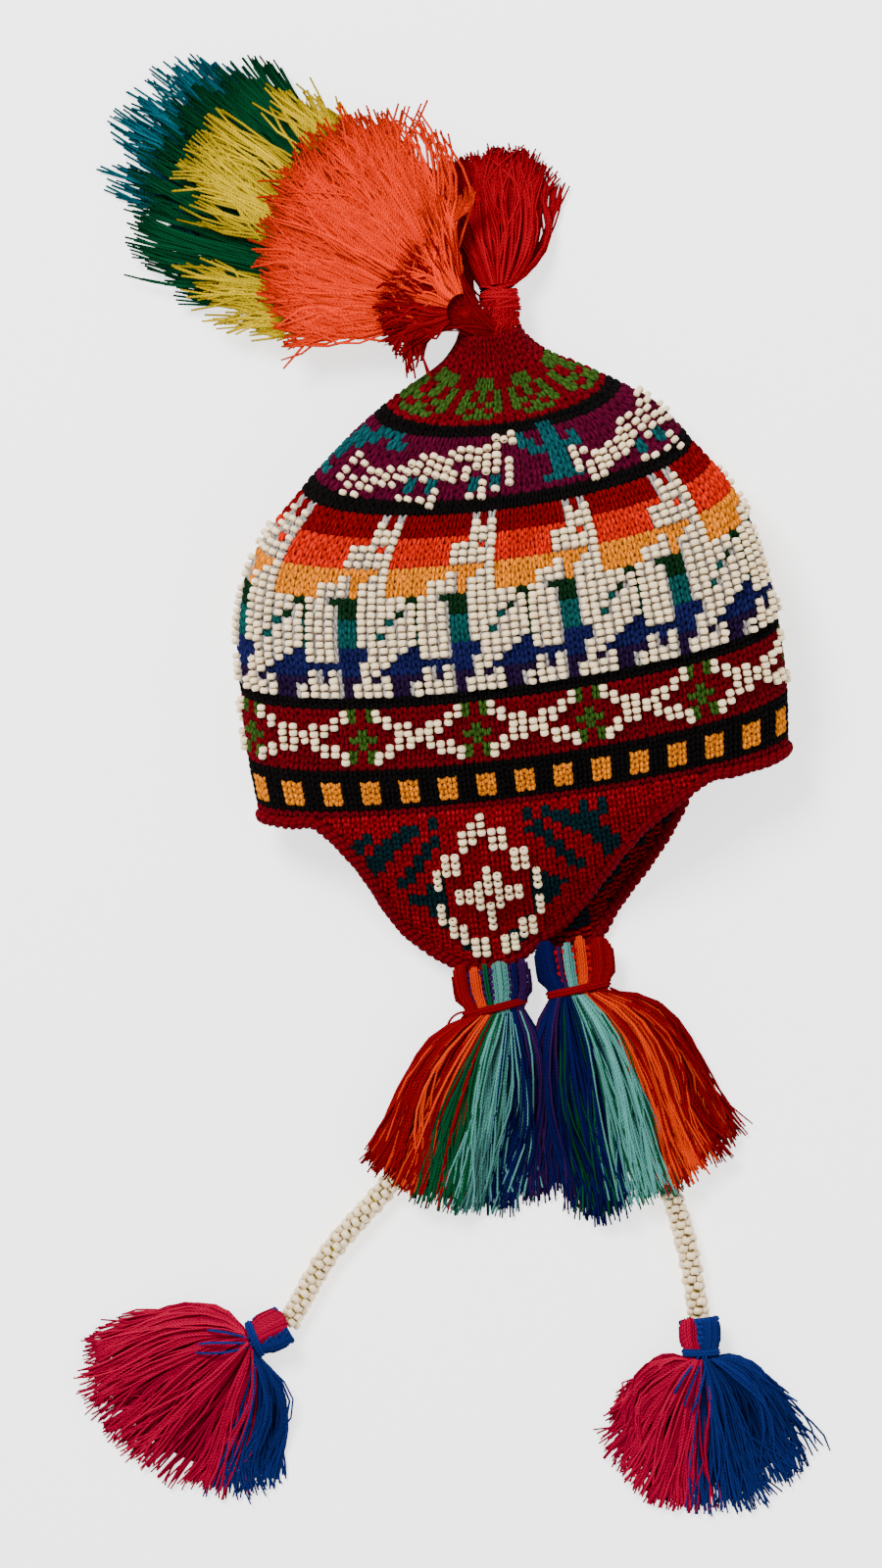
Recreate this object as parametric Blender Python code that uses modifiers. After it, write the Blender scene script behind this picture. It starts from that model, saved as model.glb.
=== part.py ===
"""A chullo: a knitted hat with ear flaps, a plume, yarn tassels and bead ropes, lying on its back.

Metres, +Z up. The origin is the middle of the crown's resting face, and the hat's top points
to +Y. The crown, the flaps and their edging share a frame that leans a little from +Y.
"""

import math

import bmesh
import bpy
from mathutils import Matrix, Vector

# Crown and knitted wall
CROWN_WIDTH = 0.242
CROWN_HEIGHT = 0.200
CROWN_DEPTH = 0.076
KNIT_WALL = 0.003
NECK_RIB_DEPTH = 0.0008
NECK_CAP_HEIGHT = 0.0015
CROWN_LEAN = math.radians(7.3)

# Ear flaps, measured down from the rim's chord
FLAP_WIDTH = 0.163
NEAR_FLAP_LENGTH = 0.082
FAR_FLAP_LENGTH = 0.078
FLAP_TIP_ROUND = 0.007
NEAR_TIP_LIFT = 0.013
EDGING_DIAMETER = 0.0054

# Tassels on the flaps
FLAP_TASSEL_LENGTH = 0.104
FLAP_HEAD_LENGTH = 0.0125
FLAP_HEAD_WIDTH = 0.034
FLAP_HEAD_DEPTH = 0.018
FLAP_WAIST_WIDTH = 0.026
FLAP_WAIST_DEPTH = 0.013
FLAP_SKIRT_DEPTH = 0.015

# Tassels on the ends of the bead ropes
END_TASSEL_LENGTH = 0.082
END_HEAD_LENGTH = 0.0115
END_HEAD_WIDTH = 0.018
END_HEAD_DEPTH = 0.017
END_WAIST_WIDTH = 0.014
END_WAIST_DEPTH = 0.012
END_SKIRT_DEPTH = 0.017

WAIST_LENGTH = 0.0050
TIE_DIAMETER = 0.0036

# Bead ropes
ROPE_DIAMETER = 0.0094
ROPE_POINT_SPACING = 0.018

# Plume
TUFT_LENGTH = 0.068
TUFT_HEAD_LENGTH = 0.013
TUFT_HEAD_WIDTH = 0.0165
TUFT_HEAD_DEPTH = 0.018
TUFT_DEPTH = 0.017
KNOT_WIDTH = 0.015
KNOT_DEPTH = 0.030
NECK_SPLIT_SIDE = -0.0025
PLUME_LAYER_DEPTH = 0.0068
BASE_RED_LENGTH = 0.057
ORANGE_LENGTH = 0.108
YELLOW_LENGTH = 0.138
GREEN_LENGTH = 0.152
BLUE_LENGTH = 0.181

# Clearances
GAP = 0.0003
FLOOR_GAP = 0.0004
TIP_EDGE = 0.0006

# How finely the soft forms are cut
CROWN_COLUMNS = 56
CROWN_SPANS = 17
NECK_RIBS = 14
FLAP_COLUMNS = 12
FLAP_SPANS = 7
RIM_EDGING_STEPS = 13
LOCK_COLUMNS = 14
EDGING_SIDES = 1
ROPE_SIDES = 2
TIE_POINTS = 14

# Where the rest face's middle lies in the crown's own frame
REST_UP = 0.33
REST_SIDE = 0.015
FAR_SIDE_FLATTENING = 1.25
FAR_SIDE_SAG = 0.3
RIB_START = 0.88

# up: share of the crown's height. left, right, sag: shares of its width.
# fold, top: heights of the side fold and of the upper face, shares of its depth.
CROWN_ROWS = (
    (0.00, 0.489, 0.499, 0.32, 0.74, 0.050),
    (0.13, 0.495, 0.508, 0.40, 0.90, 0.069),
    (0.29, 0.491, 0.506, 0.45, 1.00, 0.077),
    (0.44, 0.477, 0.491, 0.45, 1.00, 0.082),
    (0.57, 0.431, 0.457, 0.42, 0.95, 0.087),
    (0.69, 0.337, 0.394, 0.38, 0.86, 0.089),
    (0.79, 0.242, 0.330, 0.34, 0.72, 0.082),
    (0.87, 0.147, 0.240, 0.28, 0.57, 0.064),
    (0.93, 0.055, 0.155, 0.23, 0.46, 0.045),
    (0.97, 0.022, 0.122, 0.205, 0.41, 0.025),
    (1.00, 0.009, 0.106, 0.200, 0.40, 0.015),
)

# down: share of the way from rim to tip. left, right: edges from the crown's axis, shares of FLAP_WIDTH.
NEAR_FLAP_ROWS = (
    (0.00, -0.540, 0.470),
    (0.10, -0.514, 0.415),
    (0.30, -0.457, 0.290),
    (0.50, -0.412, 0.205),
    (0.65, -0.386, 0.146),
    (0.85, -0.330, 0.060),
    (1.00, -0.258, -0.042),
)
FAR_FLAP_ROWS = (
    (0.00, -0.420, 0.460),
    (0.15, -0.350, 0.440),
    (0.35, -0.260, 0.390),
    (0.60, -0.150, 0.305),
    (0.85, -0.055, 0.205),
    (1.00, 0.010, 0.158),
)

# Fans of yarn. across: share of the way from the right lock to the left one.
# turn: the lock's direction in degrees from the bundle's axis, to the left. reach: share of its length.
# bow: how far the lock's middle swings out to the left, share of its reach.
NEAR_TASSEL_FAN = (
    (0.00, -50.0, 0.87, -0.10),
    (0.22, -41.0, 0.89, -0.06),
    (0.45, -27.0, 0.90, -0.03),
    (0.65, -15.0, 0.88, 0.00),
    (0.84, -3.0, 0.89, 0.02),
    (1.00, 7.0, 0.85, 0.03),
)
FAR_TASSEL_FAN = (
    (0.00, -15.0, 0.80, -0.02),
    (0.18, -5.0, 1.00, 0.00),
    (0.38, 6.0, 0.99, 0.03),
    (0.60, 19.0, 0.96, 0.07),
    (0.80, 29.0, 0.96, 0.11),
    (1.00, 41.0, 0.95, 0.15),
)
END_LEFT_FAN = (
    (0.00, -40.0, 0.65, -0.08),
    (0.14, -24.0, 0.88, -0.04),
    (0.28, -5.0, 1.00, 0.00),
    (0.45, 16.0, 0.95, 0.02),
    (0.62, 40.0, 0.90, 0.04),
    (0.82, 62.0, 0.85, 0.05),
    (1.00, 75.0, 0.80, 0.05),
)
END_RIGHT_FAN = (
    (0.00, -70.0, 0.45, -0.10),
    (0.16, -46.0, 0.72, -0.06),
    (0.34, -25.0, 0.85, -0.03),
    (0.50, -3.0, 0.87, 0.00),
    (0.68, 18.0, 0.90, 0.03),
    (0.85, 42.0, 0.80, 0.06),
    (1.00, 62.0, 0.48, 0.10),
)
TUFT_FAN = (
    (0.00, -31.0, 0.84, -0.12),
    (0.25, -17.0, 1.00, -0.05),
    (0.50, -3.0, 0.97, 0.00),
    (0.75, 10.0, 0.94, 0.02),
    (1.00, 20.0, 0.86, 0.04),
)

# Plume layers. turn: degrees counter-clockwise from +X, to each lock's tip. reach and bow as above.
BASE_RED_FAN = (
    (0.00, 97.0, 1.00, 0.02),
    (0.30, 128.0, 0.62, 0.02),
    (0.60, 172.0, 0.66, 0.00),
    (0.85, 200.0, 0.68, -0.03),
    (1.00, 222.0, 0.55, -0.06),
)
ORANGE_FAN = (
    (0.00, 106.0, 0.58, -0.04),
    (0.15, 114.0, 0.90, -0.03),
    (0.40, 133.0, 1.00, 0.00),
    (0.65, 156.0, 0.93, 0.02),
    (0.85, 174.0, 0.85, 0.02),
    (1.00, 189.0, 0.76, 0.02),
)
YELLOW_FAN = (
    (0.00, 122.0, 0.79, -0.03),
    (0.20, 132.0, 0.97, -0.02),
    (0.45, 148.0, 1.00, 0.00),
    (0.65, 160.0, 0.95, 0.01),
    (0.82, 173.0, 0.88, 0.02),
    (1.00, 185.0, 0.68, 0.03),
)
GREEN_FAN = (
    (0.00, 129.0, 0.90, -0.03),
    (0.25, 138.0, 0.97, -0.01),
    (0.50, 152.0, 1.00, 0.00),
    (0.75, 166.0, 0.97, 0.02),
    (1.00, 178.0, 0.78, 0.03),
)
BLUE_FAN = (
    (0.00, 133.0, 0.83, -0.02),
    (0.25, 138.0, 0.96, -0.01),
    (0.50, 148.0, 1.00, 0.00),
    (0.75, 156.0, 0.97, 0.01),
    (1.00, 163.0, 0.80, 0.02),
)

# Bead ropes: chosen points, in metres, from where each rope comes out of its tassel's waist
ROPE_LEFT_ROUTE = ((-0.007, -0.018), (-0.025, -0.046), (-0.048, -0.077), (-0.075, -0.108), (-0.093, -0.139))
ROPE_RIGHT_ROUTE = ((0.007, -0.018), (0.022, -0.048), (0.039, -0.083), (0.049, -0.115), (0.054, -0.146))

# Where each rope runs under its skirt, as shares across the fan at its root and at its tips
ROPE_UNDER_LEFT = (0.50, 0.27)
ROPE_UNDER_RIGHT = (0.50, 0.58)
END_LEFT_HEADING = math.radians(-155.0)
END_RIGHT_HEADING = math.radians(-87.0)

DARK_CRIMSON = (0.25, 0.012, 0.02)
CRIMSON = (0.42, 0.02, 0.035)
RED = (0.55, 0.02, 0.02)
DARK_RED = (0.22, 0.01, 0.015)
ORANGE = (0.75, 0.12, 0.02)
YELLOW = (0.80, 0.50, 0.06)
GREEN = (0.02, 0.12, 0.07)
BLUE = (0.03, 0.20, 0.33)
NAVY = (0.02, 0.03, 0.10)
IVORY = (0.80, 0.76, 0.66)


def clear_scene():
    """Remove every object that the file starts with."""
    for item in list(bpy.data.objects):
        bpy.data.objects.remove(item, do_unlink=True)


def smooth_step(share):
    """Ease from 0 to 1, flat at both ends."""
    share = min(1.0, max(0.0, share))
    return share * share * (3.0 - 2.0 * share)


def row_at(rows, share):
    """Return a table's columns at a share of its first one, on a smooth curve through its rows."""
    index = sum(row[0] <= share for row in rows) - 1
    index = min(len(rows) - 2, max(0, index))
    before, start = rows[max(0, index - 1)], rows[index]
    end, after = rows[index + 1], rows[min(len(rows) - 1, index + 2)]
    span = end[0] - start[0]
    part = min(1.0, max(0.0, (share - start[0]) / span))
    values = []
    for a, b, c, d in zip(before[1:], start[1:], end[1:], after[1:]):
        slope_in = (c - a) / (end[0] - before[0]) * span
        slope_out = (d - b) / (after[0] - start[0]) * span
        cubic = 2.0 * b - 2.0 * c + slope_in + slope_out
        square = 3.0 * c - 3.0 * b - 2.0 * slope_in - slope_out
        values.append(((cubic * part + square) * part + slope_in) * part + b)
    return values


def paint(item, colour, roughness):
    """Give an object a Principled material of its own."""
    material = bpy.data.materials.new(item.name)
    material.use_nodes = True
    shader = material.node_tree.nodes["Principled BSDF"]
    shader.inputs["Base Color"].default_value = (*colour, 1.0)
    shader.inputs["Roughness"].default_value = roughness
    shader.inputs["Metallic"].default_value = 0.0
    item.data.materials.append(material)


def add_mesh(name, rings, colour, closed_ring=True, cap_start=None, cap_end=None):
    """Loft a mesh through rings of points; a cap is a point to close to, or a True for strips across."""
    shape = bmesh.new()
    loops = [[shape.verts.new(point) for point in ring] for ring in rings]
    count = len(loops[0])
    steps = count if closed_ring else count - 1
    for lower, upper in zip(loops, loops[1:]):
        for i in range(steps):
            j = (i + 1) % count
            shape.faces.new((lower[i], lower[j], upper[j], upper[i]))
    for loop, cap in ((loops[0], cap_start), (loops[-1], cap_end)):
        if cap is True:
            for i in range(count // 2 - 1):
                shape.faces.new((loop[i], loop[i + 1], loop[count - 2 - i], loop[count - 1 - i]))
        elif cap is not None:
            middle = shape.verts.new(cap)
            for i in range(count):
                shape.faces.new((loop[i], loop[(i + 1) % count], middle))
    bmesh.ops.recalc_face_normals(shape, faces=shape.faces)
    mesh = bpy.data.meshes.new(name)
    shape.to_mesh(mesh)
    shape.free()
    mesh.shade_smooth()
    item = bpy.data.objects.new(name, mesh)
    HAT.objects.link(item)
    paint(item, colour, 0.9)
    return item


def add_tube(name, points, radius, resolution, colour, closed=False, roughness=0.9):
    """Add a round tube along points, as a curve with a bevel."""
    curve = bpy.data.curves.new(name, "CURVE")
    curve.dimensions = "3D"
    curve.bevel_depth = radius
    curve.bevel_resolution = resolution
    curve.use_fill_caps = not closed
    spline = curve.splines.new("POLY")
    spline.points.add(len(points) - 1)
    for spot, point in zip(spline.points, points):
        spot.co = (*point, 1.0)
    spline.use_cyclic_u = closed
    spline.use_smooth = True
    item = bpy.data.objects.new(name, curve)
    HAT.objects.link(item)
    paint(item, colour, roughness)
    return item


def thicken(item, offset):
    """Turn an open knitted surface into a wall; the offset says to which side it grows."""
    wall = item.modifiers.new("Knit wall", "SOLIDIFY")
    wall.thickness = KNIT_WALL
    wall.offset = offset
    wall.use_even_offset = True


def lean(item):
    """Hang an object in the crown's leaning frame."""
    item.parent = CROWN_FRAME


def crown_point(up, angle, inset=0.0):
    """Point of the crown's wall at a share of its height; angle 0 is the right fold, 90 degrees the top."""
    left, right, fold, top, sag = row_at(CROWN_ROWS, up)
    rib = NECK_RIB_DEPTH * smooth_step((up - RIB_START) / (1.0 - RIB_START)) * math.cos(NECK_RIBS * angle)
    grow = rib - inset
    half = 0.5 * (left + right) * CROWN_WIDTH + grow
    middle = 0.5 * (right - left) * CROWN_WIDTH
    fold_height = fold * CROWN_DEPTH
    around = math.sin(angle)
    if around >= 0.0:
        height = fold_height + (top * CROWN_DEPTH - fold_height + grow) * around
        drop = sag * CROWN_WIDTH * around
    else:
        height = max(inset, fold_height * (1.0 + FAR_SIDE_FLATTENING * around))
        drop = -FAR_SIDE_SAG * sag * CROWN_WIDTH * around
    side = middle + half * math.cos(angle)
    return Vector((side, up * CROWN_HEIGHT - drop, height))


def rim_angle(side, sign):
    """Angle at which the rim stands at a distance from the crown's axis; sign picks its upper or lower half."""
    left, right = row_at(CROWN_ROWS, 0.0)[:2]
    middle = 0.5 * (right - left) * CROWN_WIDTH
    half = 0.5 * (left + right) * CROWN_WIDTH
    return sign * math.acos((side - middle) / half)


def make_crown():
    """The knitted cap, open at the rim and closed at the neck."""
    rings = []
    for i in range(CROWN_SPANS + 1):
        up = i / CROWN_SPANS
        rings.append([crown_point(up, math.tau * j / CROWN_COLUMNS) for j in range(CROWN_COLUMNS)])
    middle = sum(rings[-1], Vector()) / CROWN_COLUMNS
    crest = middle + Vector((0.0, NECK_CAP_HEIGHT, 0.0))
    rings.append([crest.lerp(point, 0.55) for point in rings[-1]])
    crown = add_mesh("crown", rings, DARK_CRIMSON, cap_end=crest + Vector((0.0, 0.3 * NECK_CAP_HEIGHT, 0.0)))
    thicken(crown, -1.0)
    lean(crown)
    return crest


class Flap:
    """One ear flap: its outer face as a function of the share across and the share down."""

    def __init__(self, rows, length, tip_height, sign):
        self.rows = rows
        self.length = length
        self.tip_height = tip_height
        self.sign = sign

    def point(self, across, down, inset=0.0):
        """Point of the flap; inset moves it into the wall."""
        left, right = row_at(self.rows, down)
        side = FLAP_WIDTH * (left + (right - left) * across)
        top_left, top_right = self.rows[0][1:]
        rim_side = FLAP_WIDTH * (top_left + (top_right - top_left) * across)
        rim = crown_point(0.0, rim_angle(rim_side, self.sign), inset)
        bulge = 1.0 - (2.0 * across - 1.0) ** 2
        tip = -self.length + FLAP_TIP_ROUND * (1.0 - bulge)
        along = rim.y - GAP + (tip - rim.y + GAP) * down
        tip_height = self.tip_height - self.sign * inset
        height = rim.z + (tip_height - rim.z) * smooth_step(down * 0.9 + 0.1 * down * down)
        return Vector((side, along, height))

    def edge(self, across, down):
        """Centre of the edging cord beside a point of the flap's border."""
        step = 0.02
        here = self.point(across, down, 0.5 * KNIT_WALL)
        inner = self.point(0.5, min(down, 0.7), 0.5 * KNIT_WALL) - here
        if down >= 1.0:
            along = self.point(min(1.0, across + step), 1.0) - self.point(max(0.0, across - step), 1.0)
        else:
            along = self.point(across, min(1.0, down + step)) - self.point(across, max(0.0, down - step))
        return beside(here, along, inner)

    def corner(self, across):
        """Centre of the edging cord at a corner of the tip, clear of both borders."""
        here = self.point(across, 1.0, 0.5 * KNIT_WALL)
        side = (self.edge(across, 0.98) - self.point(across, 0.98, 0.5 * KNIT_WALL)).normalized()
        end = (self.edge(across, 1.0) - here).normalized()
        middle = (side + end).normalized()
        return here + middle * EDGING_REACH / max(0.5, middle.dot(side))


def beside(here, along, inner):
    """Step out of a border, square to it, far enough for the edging cord to clear the wall."""
    along = along.normalized()
    out = -(inner - along * inner.dot(along)).normalized()
    return here + out * EDGING_REACH


def make_flap(name, flap, offset):
    """A flap's wall, from a grid of points."""
    rings = []
    for i in range(FLAP_SPANS + 1):
        rings.append([flap.point(j / FLAP_COLUMNS, i / FLAP_SPANS) for j in range(FLAP_COLUMNS + 1)])
    item = add_mesh(name, rings, CRIMSON, closed_ring=False)
    thicken(item, offset)
    lean(item)
    return item


def rim_run(start, end):
    """Centre line of the edging along the open rim between two angles."""
    points = []
    for i in range(RIM_EDGING_STEPS):
        angle = start + (end - start) * i / (RIM_EDGING_STEPS - 1)
        here = crown_point(0.0, angle, 0.5 * KNIT_WALL)
        along = crown_point(0.0, angle + 0.02) - crown_point(0.0, angle - 0.02)
        points.append(beside(here, along, crown_point(0.04, angle) - crown_point(0.0, angle)))
    return points


def flap_run(flap, first):
    """Centre line of the edging round a flap, from the given border over the tip to the other one."""
    second = 1.0 - first
    points = [flap.edge(first, i / FLAP_SPANS) for i in range(1, FLAP_SPANS)]
    points.append(flap.corner(first))
    for i in range(2, FLAP_COLUMNS - 1, 2):
        share = i / FLAP_COLUMNS
        points.append(flap.edge(share if first == 0.0 else 1.0 - share, 1.0))
    points.append(flap.corner(second))
    points += [flap.edge(second, i / FLAP_SPANS) for i in range(FLAP_SPANS - 1, 0, -1)]
    return points


def make_edging(near, far):
    """The crocheted cord: right rim, far flap, left rim, near flap, closed."""
    near_left, near_right = [FLAP_WIDTH * side for side in NEAR_FLAP_ROWS[0][1:]]
    far_left, far_right = [FLAP_WIDTH * side for side in FAR_FLAP_ROWS[0][1:]]
    clear = 1.2 * EDGING_DIAMETER
    points = rim_run(rim_angle(near_right + clear, 1.0), rim_angle(far_right + clear, -1.0))
    points += flap_run(far, 1.0)
    points += rim_run(rim_angle(far_left - clear, -1.0), rim_angle(near_left - clear, 1.0) - math.tau)
    points += flap_run(near, 0.0)
    lowest = 0.5 * EDGING_DIAMETER + FLOOR_GAP
    points = [Vector((point.x, point.y, max(point.z, lowest))) for point in points]
    edging = add_tube("rim_edging", points, 0.5 * EDGING_DIAMETER, EDGING_SIDES, DARK_CRIMSON, closed=True)
    lean(edging)


def lens_ring(along, half_width, low, high):
    """Ring of a bundle of yarn seen end on: wide, rounded and ending in thin edges."""
    top, bottom = [], []
    middle = 0.5 * (low + high)
    half = 0.5 * (high - low) - TIP_EDGE
    for k in range(LOCK_COLUMNS + 1):
        turn = math.pi * k / LOCK_COLUMNS
        side = -half_width * math.cos(turn)
        lift = TIP_EDGE + half * math.sin(turn)
        top.append(Vector((along, side, middle + lift)))
        bottom.append(Vector((along, side, middle - lift)))
    return top + bottom[::-1]


def lock_tip(fan, share, length, root):
    """Tip and swing of one lock of a fan that starts at a root point."""
    turn, reach, bow = row_at(fan, share)
    heading = Vector((math.cos(math.radians(turn)), math.sin(math.radians(turn)), 0.0))
    tip = root + heading * reach * length
    swing = Vector((-heading.y, heading.x, 0.0)) * bow * reach * length
    return tip, swing


def fan_ring(fan, length, roots, centre, share_out, floor, depth):
    """Ring of a fan of locks at a share of the way out; grooves part the locks and notch their tips."""
    top, bottom = [], []
    for k in range(LOCK_COLUMNS + 1):
        across = 0.5 - 0.5 * math.cos(math.pi * k / LOCK_COLUMNS)
        swell = math.sin(math.pi * k / LOCK_COLUMNS)
        tip, swing = lock_tip(fan, across, length, centre)
        groove = k % 2
        out = share_out * (1.0 - 0.07 * groove * smooth_step(2.0 * share_out - 1.0))
        place = roots[k].lerp(tip, out) + swing * 4.0 * out * (1.0 - out)
        low = floor(across, share_out)
        rise = TIP_EDGE + depth(share_out) * (0.35 + 0.65 * swell) * (1.0 - 0.16 * groove)
        top.append(Vector((place.x, place.y, low + rise + TIP_EDGE)))
        bottom.append(Vector((place.x, place.y, low)))
    return top + bottom[::-1]


class Tassel:
    """A bundle with a head, a tied waist and a fan of locks, along its own +X."""

    def __init__(self, name, head, waist, fan, length, skirt_depth, height, colour):
        self.name = name
        self.head_length, self.head_width, self.head_depth = head
        self.waist_width, self.waist_depth = waist
        self.fan = fan
        self.length = length
        self.skirt_depth = skirt_depth
        self.height = height
        self.colour = colour

    def waist_start(self):
        """Where the waist begins along the tassel."""
        return self.head_length

    def waist_end(self):
        """Where the waist ends and the skirt begins."""
        return self.head_length + WAIST_LENGTH

    def waist_low(self):
        """Lowest point of the waist, which leaves room for the tie under it."""
        return max(TIE_DIAMETER + GAP + FLOOR_GAP, self.height - 0.5 * self.waist_depth)

    def build(self, place, heading, floor):
        """Add the tassel's body with its head's end at a place, pointing along a heading."""
        rings = []
        for share, width in ((0.0, 0.72), (0.28, 0.98), (0.62, 1.0)):
            low = self.height - 0.5 * self.head_depth * width
            high = low + self.head_depth * width
            rings.append(lens_ring(share * self.head_length, 0.5 * self.head_width * width, low, high))
        low = self.waist_low()
        for along in (self.waist_start(), self.waist_end()):
            rings.append(lens_ring(along, 0.5 * self.waist_width, low, low + self.waist_depth))
        roots = rings[-1][:LOCK_COLUMNS + 1]
        centre = Vector((self.waist_end(), 0.0, 0.0))
        for out in (0.12, 0.3, 0.55, 0.8, 1.0):
            rings.append(fan_ring(self.fan, self.length, roots, centre, out, floor, self.depth))
        item = add_mesh(self.name, rings, self.colour, cap_start=True, cap_end=True)
        item.location = place
        item.rotation_euler = (0.0, 0.0, heading)

    def depth(self, out):
        """Thickness of the skirt at a share of the way out."""
        return self.skirt_depth * (1.0 - 0.78 * smooth_step(1.25 * out - 0.25))

    def tie(self, name, place, heading, colour):
        """The yarn tied round the waist, a plain closed ring."""
        radius = 0.5 * TIE_DIAMETER
        across = 0.5 * self.waist_width + radius + 2.0 * GAP
        up = 0.5 * self.waist_depth + radius + 2.0 * GAP
        middle = self.waist_low() + 0.5 * self.waist_depth
        along = 0.5 * (self.waist_start() + self.waist_end())
        points = []
        for k in range(TIE_POINTS):
            turn = math.tau * k / TIE_POINTS
            points.append((along, across * math.cos(turn), middle + up * math.sin(turn)))
        item = add_tube(name, points, radius, EDGING_SIDES, colour, closed=True)
        item.location = place
        item.rotation_euler = (0.0, 0.0, heading)


def skirt_floor(tassel, under):
    """Underside of a skirt: over a rope that leaves beneath it, and on the floor to both sides."""
    clear = FLOOR_GAP + ROPE_DIAMETER + 2.0 * GAP

    def floor(across, out):
        rope_at = under[0] + (under[1] - under[0]) * out
        aside = smooth_step((abs(across - rope_at) - 0.22) / 0.25) * smooth_step((out - 0.15) / 0.4)
        over_rope = tassel.waist_low() + (clear - tassel.waist_low()) * smooth_step(out / 0.12)
        return over_rope + (FLOOR_GAP - over_rope) * aside

    return floor


def plain_floor(tassel):
    """Underside of a skirt that falls from its waist to the floor."""
    def floor(_across, out):
        return tassel.waist_low() + (FLOOR_GAP - tassel.waist_low()) * smooth_step(out / 0.5)

    return floor


def smooth_route(points):
    """Read a rope's centre line at even steps from a smooth curve through its chosen points."""
    spots = [points[0]] + list(points) + [points[-1]]
    dense = []
    for a, b, c, d in zip(spots, spots[1:], spots[2:], spots[3:]):
        for i in range(12):
            t = i / 12
            dense.append(0.5 * (2 * b + (c - a) * t + (2 * a - 5 * b + 4 * c - d) * t ** 2
                                + (3 * b - a - 3 * c + d) * t ** 3))
    dense.append(points[-1])
    lengths = [0.0]
    for start, end in zip(dense, dense[1:]):
        lengths.append(lengths[-1] + (end - start).length)
    count = round(lengths[-1] / ROPE_POINT_SPACING)
    route = []
    for i in range(count + 1):
        goal = lengths[-1] * i / count
        index = max(0, min(len(dense) - 2, sum(value <= goal for value in lengths) - 1))
        part = (goal - lengths[index]) / (lengths[index + 1] - lengths[index])
        route.append(dense[index].lerp(dense[index + 1], part))
    return route


def make_rope(name, start, route):
    """A rope of seed beads as a plain tube; returns its end on the floor."""
    height = 0.5 * ROPE_DIAMETER + FLOOR_GAP
    points = [Vector((start.x + x, start.y + y, height)) for x, y in route]
    add_tube(name, smooth_route(points), 0.5 * ROPE_DIAMETER, ROPE_SIDES, IVORY, roughness=0.3)
    direction = points[-1] - points[-2]
    return points[-1], math.atan2(direction.y, direction.x)


def make_flap_tassel(side, flap, fan, rope_side, route, under):
    """The tassel, tie and bead rope at a flap's tip."""
    tip = CROWN_FRAME.matrix_world @ flap.edge(0.5, 1.0)
    heading = CROWN_LEAN - 0.5 * math.pi
    out = Vector((math.cos(heading), math.sin(heading), 0.0))
    place = tip + out * (0.5 * EDGING_DIAMETER + 2.0 * GAP)
    height = max(tip.z, 0.5 * FLAP_HEAD_DEPTH + FLOOR_GAP)
    place.z = 0.0
    tassel = Tassel("flap_tassel_" + side, (FLAP_HEAD_LENGTH, FLAP_HEAD_WIDTH, FLAP_HEAD_DEPTH),
                    (FLAP_WAIST_WIDTH, FLAP_WAIST_DEPTH), fan, FLAP_TASSEL_LENGTH, FLAP_SKIRT_DEPTH,
                    height, RED)
    tassel.build(place, heading, skirt_floor(tassel, under))
    tassel.tie("flap_tie_" + side, place, heading, RED)
    waist = place + out * tassel.waist_end()
    return make_rope("bead_rope_" + rope_side, waist, route)


def make_end_tassel(side, rope_end, rope_heading, heading, fan):
    """The tassel and tie at a bead rope's end, turned a little from the rope."""
    out = Vector((math.cos(heading), math.sin(heading), 0.0))
    turn = abs(math.sin(heading - rope_heading))
    place = rope_end + out * (0.5 * ROPE_DIAMETER * turn + 1.5 * GAP)
    height = 0.5 * END_HEAD_DEPTH + FLOOR_GAP
    place.z = 0.0
    tassel = Tassel("end_tassel_" + side, (END_HEAD_LENGTH, END_HEAD_WIDTH, END_HEAD_DEPTH),
                    (END_WAIST_WIDTH, END_WAIST_DEPTH), fan, END_TASSEL_LENGTH, END_SKIRT_DEPTH,
                    height, CRIMSON)
    tassel.build(place, heading, plain_floor(tassel))
    tassel.tie("end_tie_" + side, place, heading, NAVY)


def make_tuft(crest):
    """The wrapped red tuft on the right half of the neck's end."""
    heading = CROWN_LEAN + 0.5 * math.pi
    out = Vector((math.cos(heading), math.sin(heading), 0.0))
    along = Vector((math.cos(CROWN_LEAN), math.sin(CROWN_LEAN), 0.0))
    place = crest + out * (0.3 * NECK_CAP_HEIGHT + GAP) + along * (NECK_SPLIT_SIDE + 0.5 * TUFT_HEAD_WIDTH + GAP)
    height = crest.z
    place.z = 0.0
    tassel = Tassel("plume_tuft_red", (TUFT_HEAD_LENGTH, TUFT_HEAD_WIDTH, TUFT_HEAD_DEPTH),
                    (0.9 * TUFT_HEAD_WIDTH, 0.8 * TUFT_HEAD_DEPTH), TUFT_FAN, TUFT_LENGTH, TUFT_DEPTH,
                    height, RED)
    tassel.build(place, heading, plain_floor(tassel))


def make_knot(crest):
    """The knot on the left half of the neck's end, from which the plume's layers spring."""
    heading = CROWN_LEAN + 0.5 * math.pi
    out = Vector((math.cos(heading), math.sin(heading), 0.0))
    along = Vector((math.cos(CROWN_LEAN), math.sin(CROWN_LEAN), 0.0))
    radius = 0.5 * KNOT_WIDTH
    centre = crest + out * (radius + 1.5 * GAP) + along * (NECK_SPLIT_SIDE - radius - GAP)
    centre.z = 0.5 * KNOT_DEPTH + FLOOR_GAP
    bpy.ops.mesh.primitive_uv_sphere_add(segments=12, ring_count=8, radius=radius, location=centre)
    knot = bpy.context.object
    knot.name = "plume_knot"
    knot.scale.z = KNOT_DEPTH / KNOT_WIDTH
    knot.data.shade_smooth()
    for owner in list(knot.users_collection):
        owner.objects.unlink(knot)
    HAT.objects.link(knot)
    paint(knot, DARK_RED, 0.9)
    return centre


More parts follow.
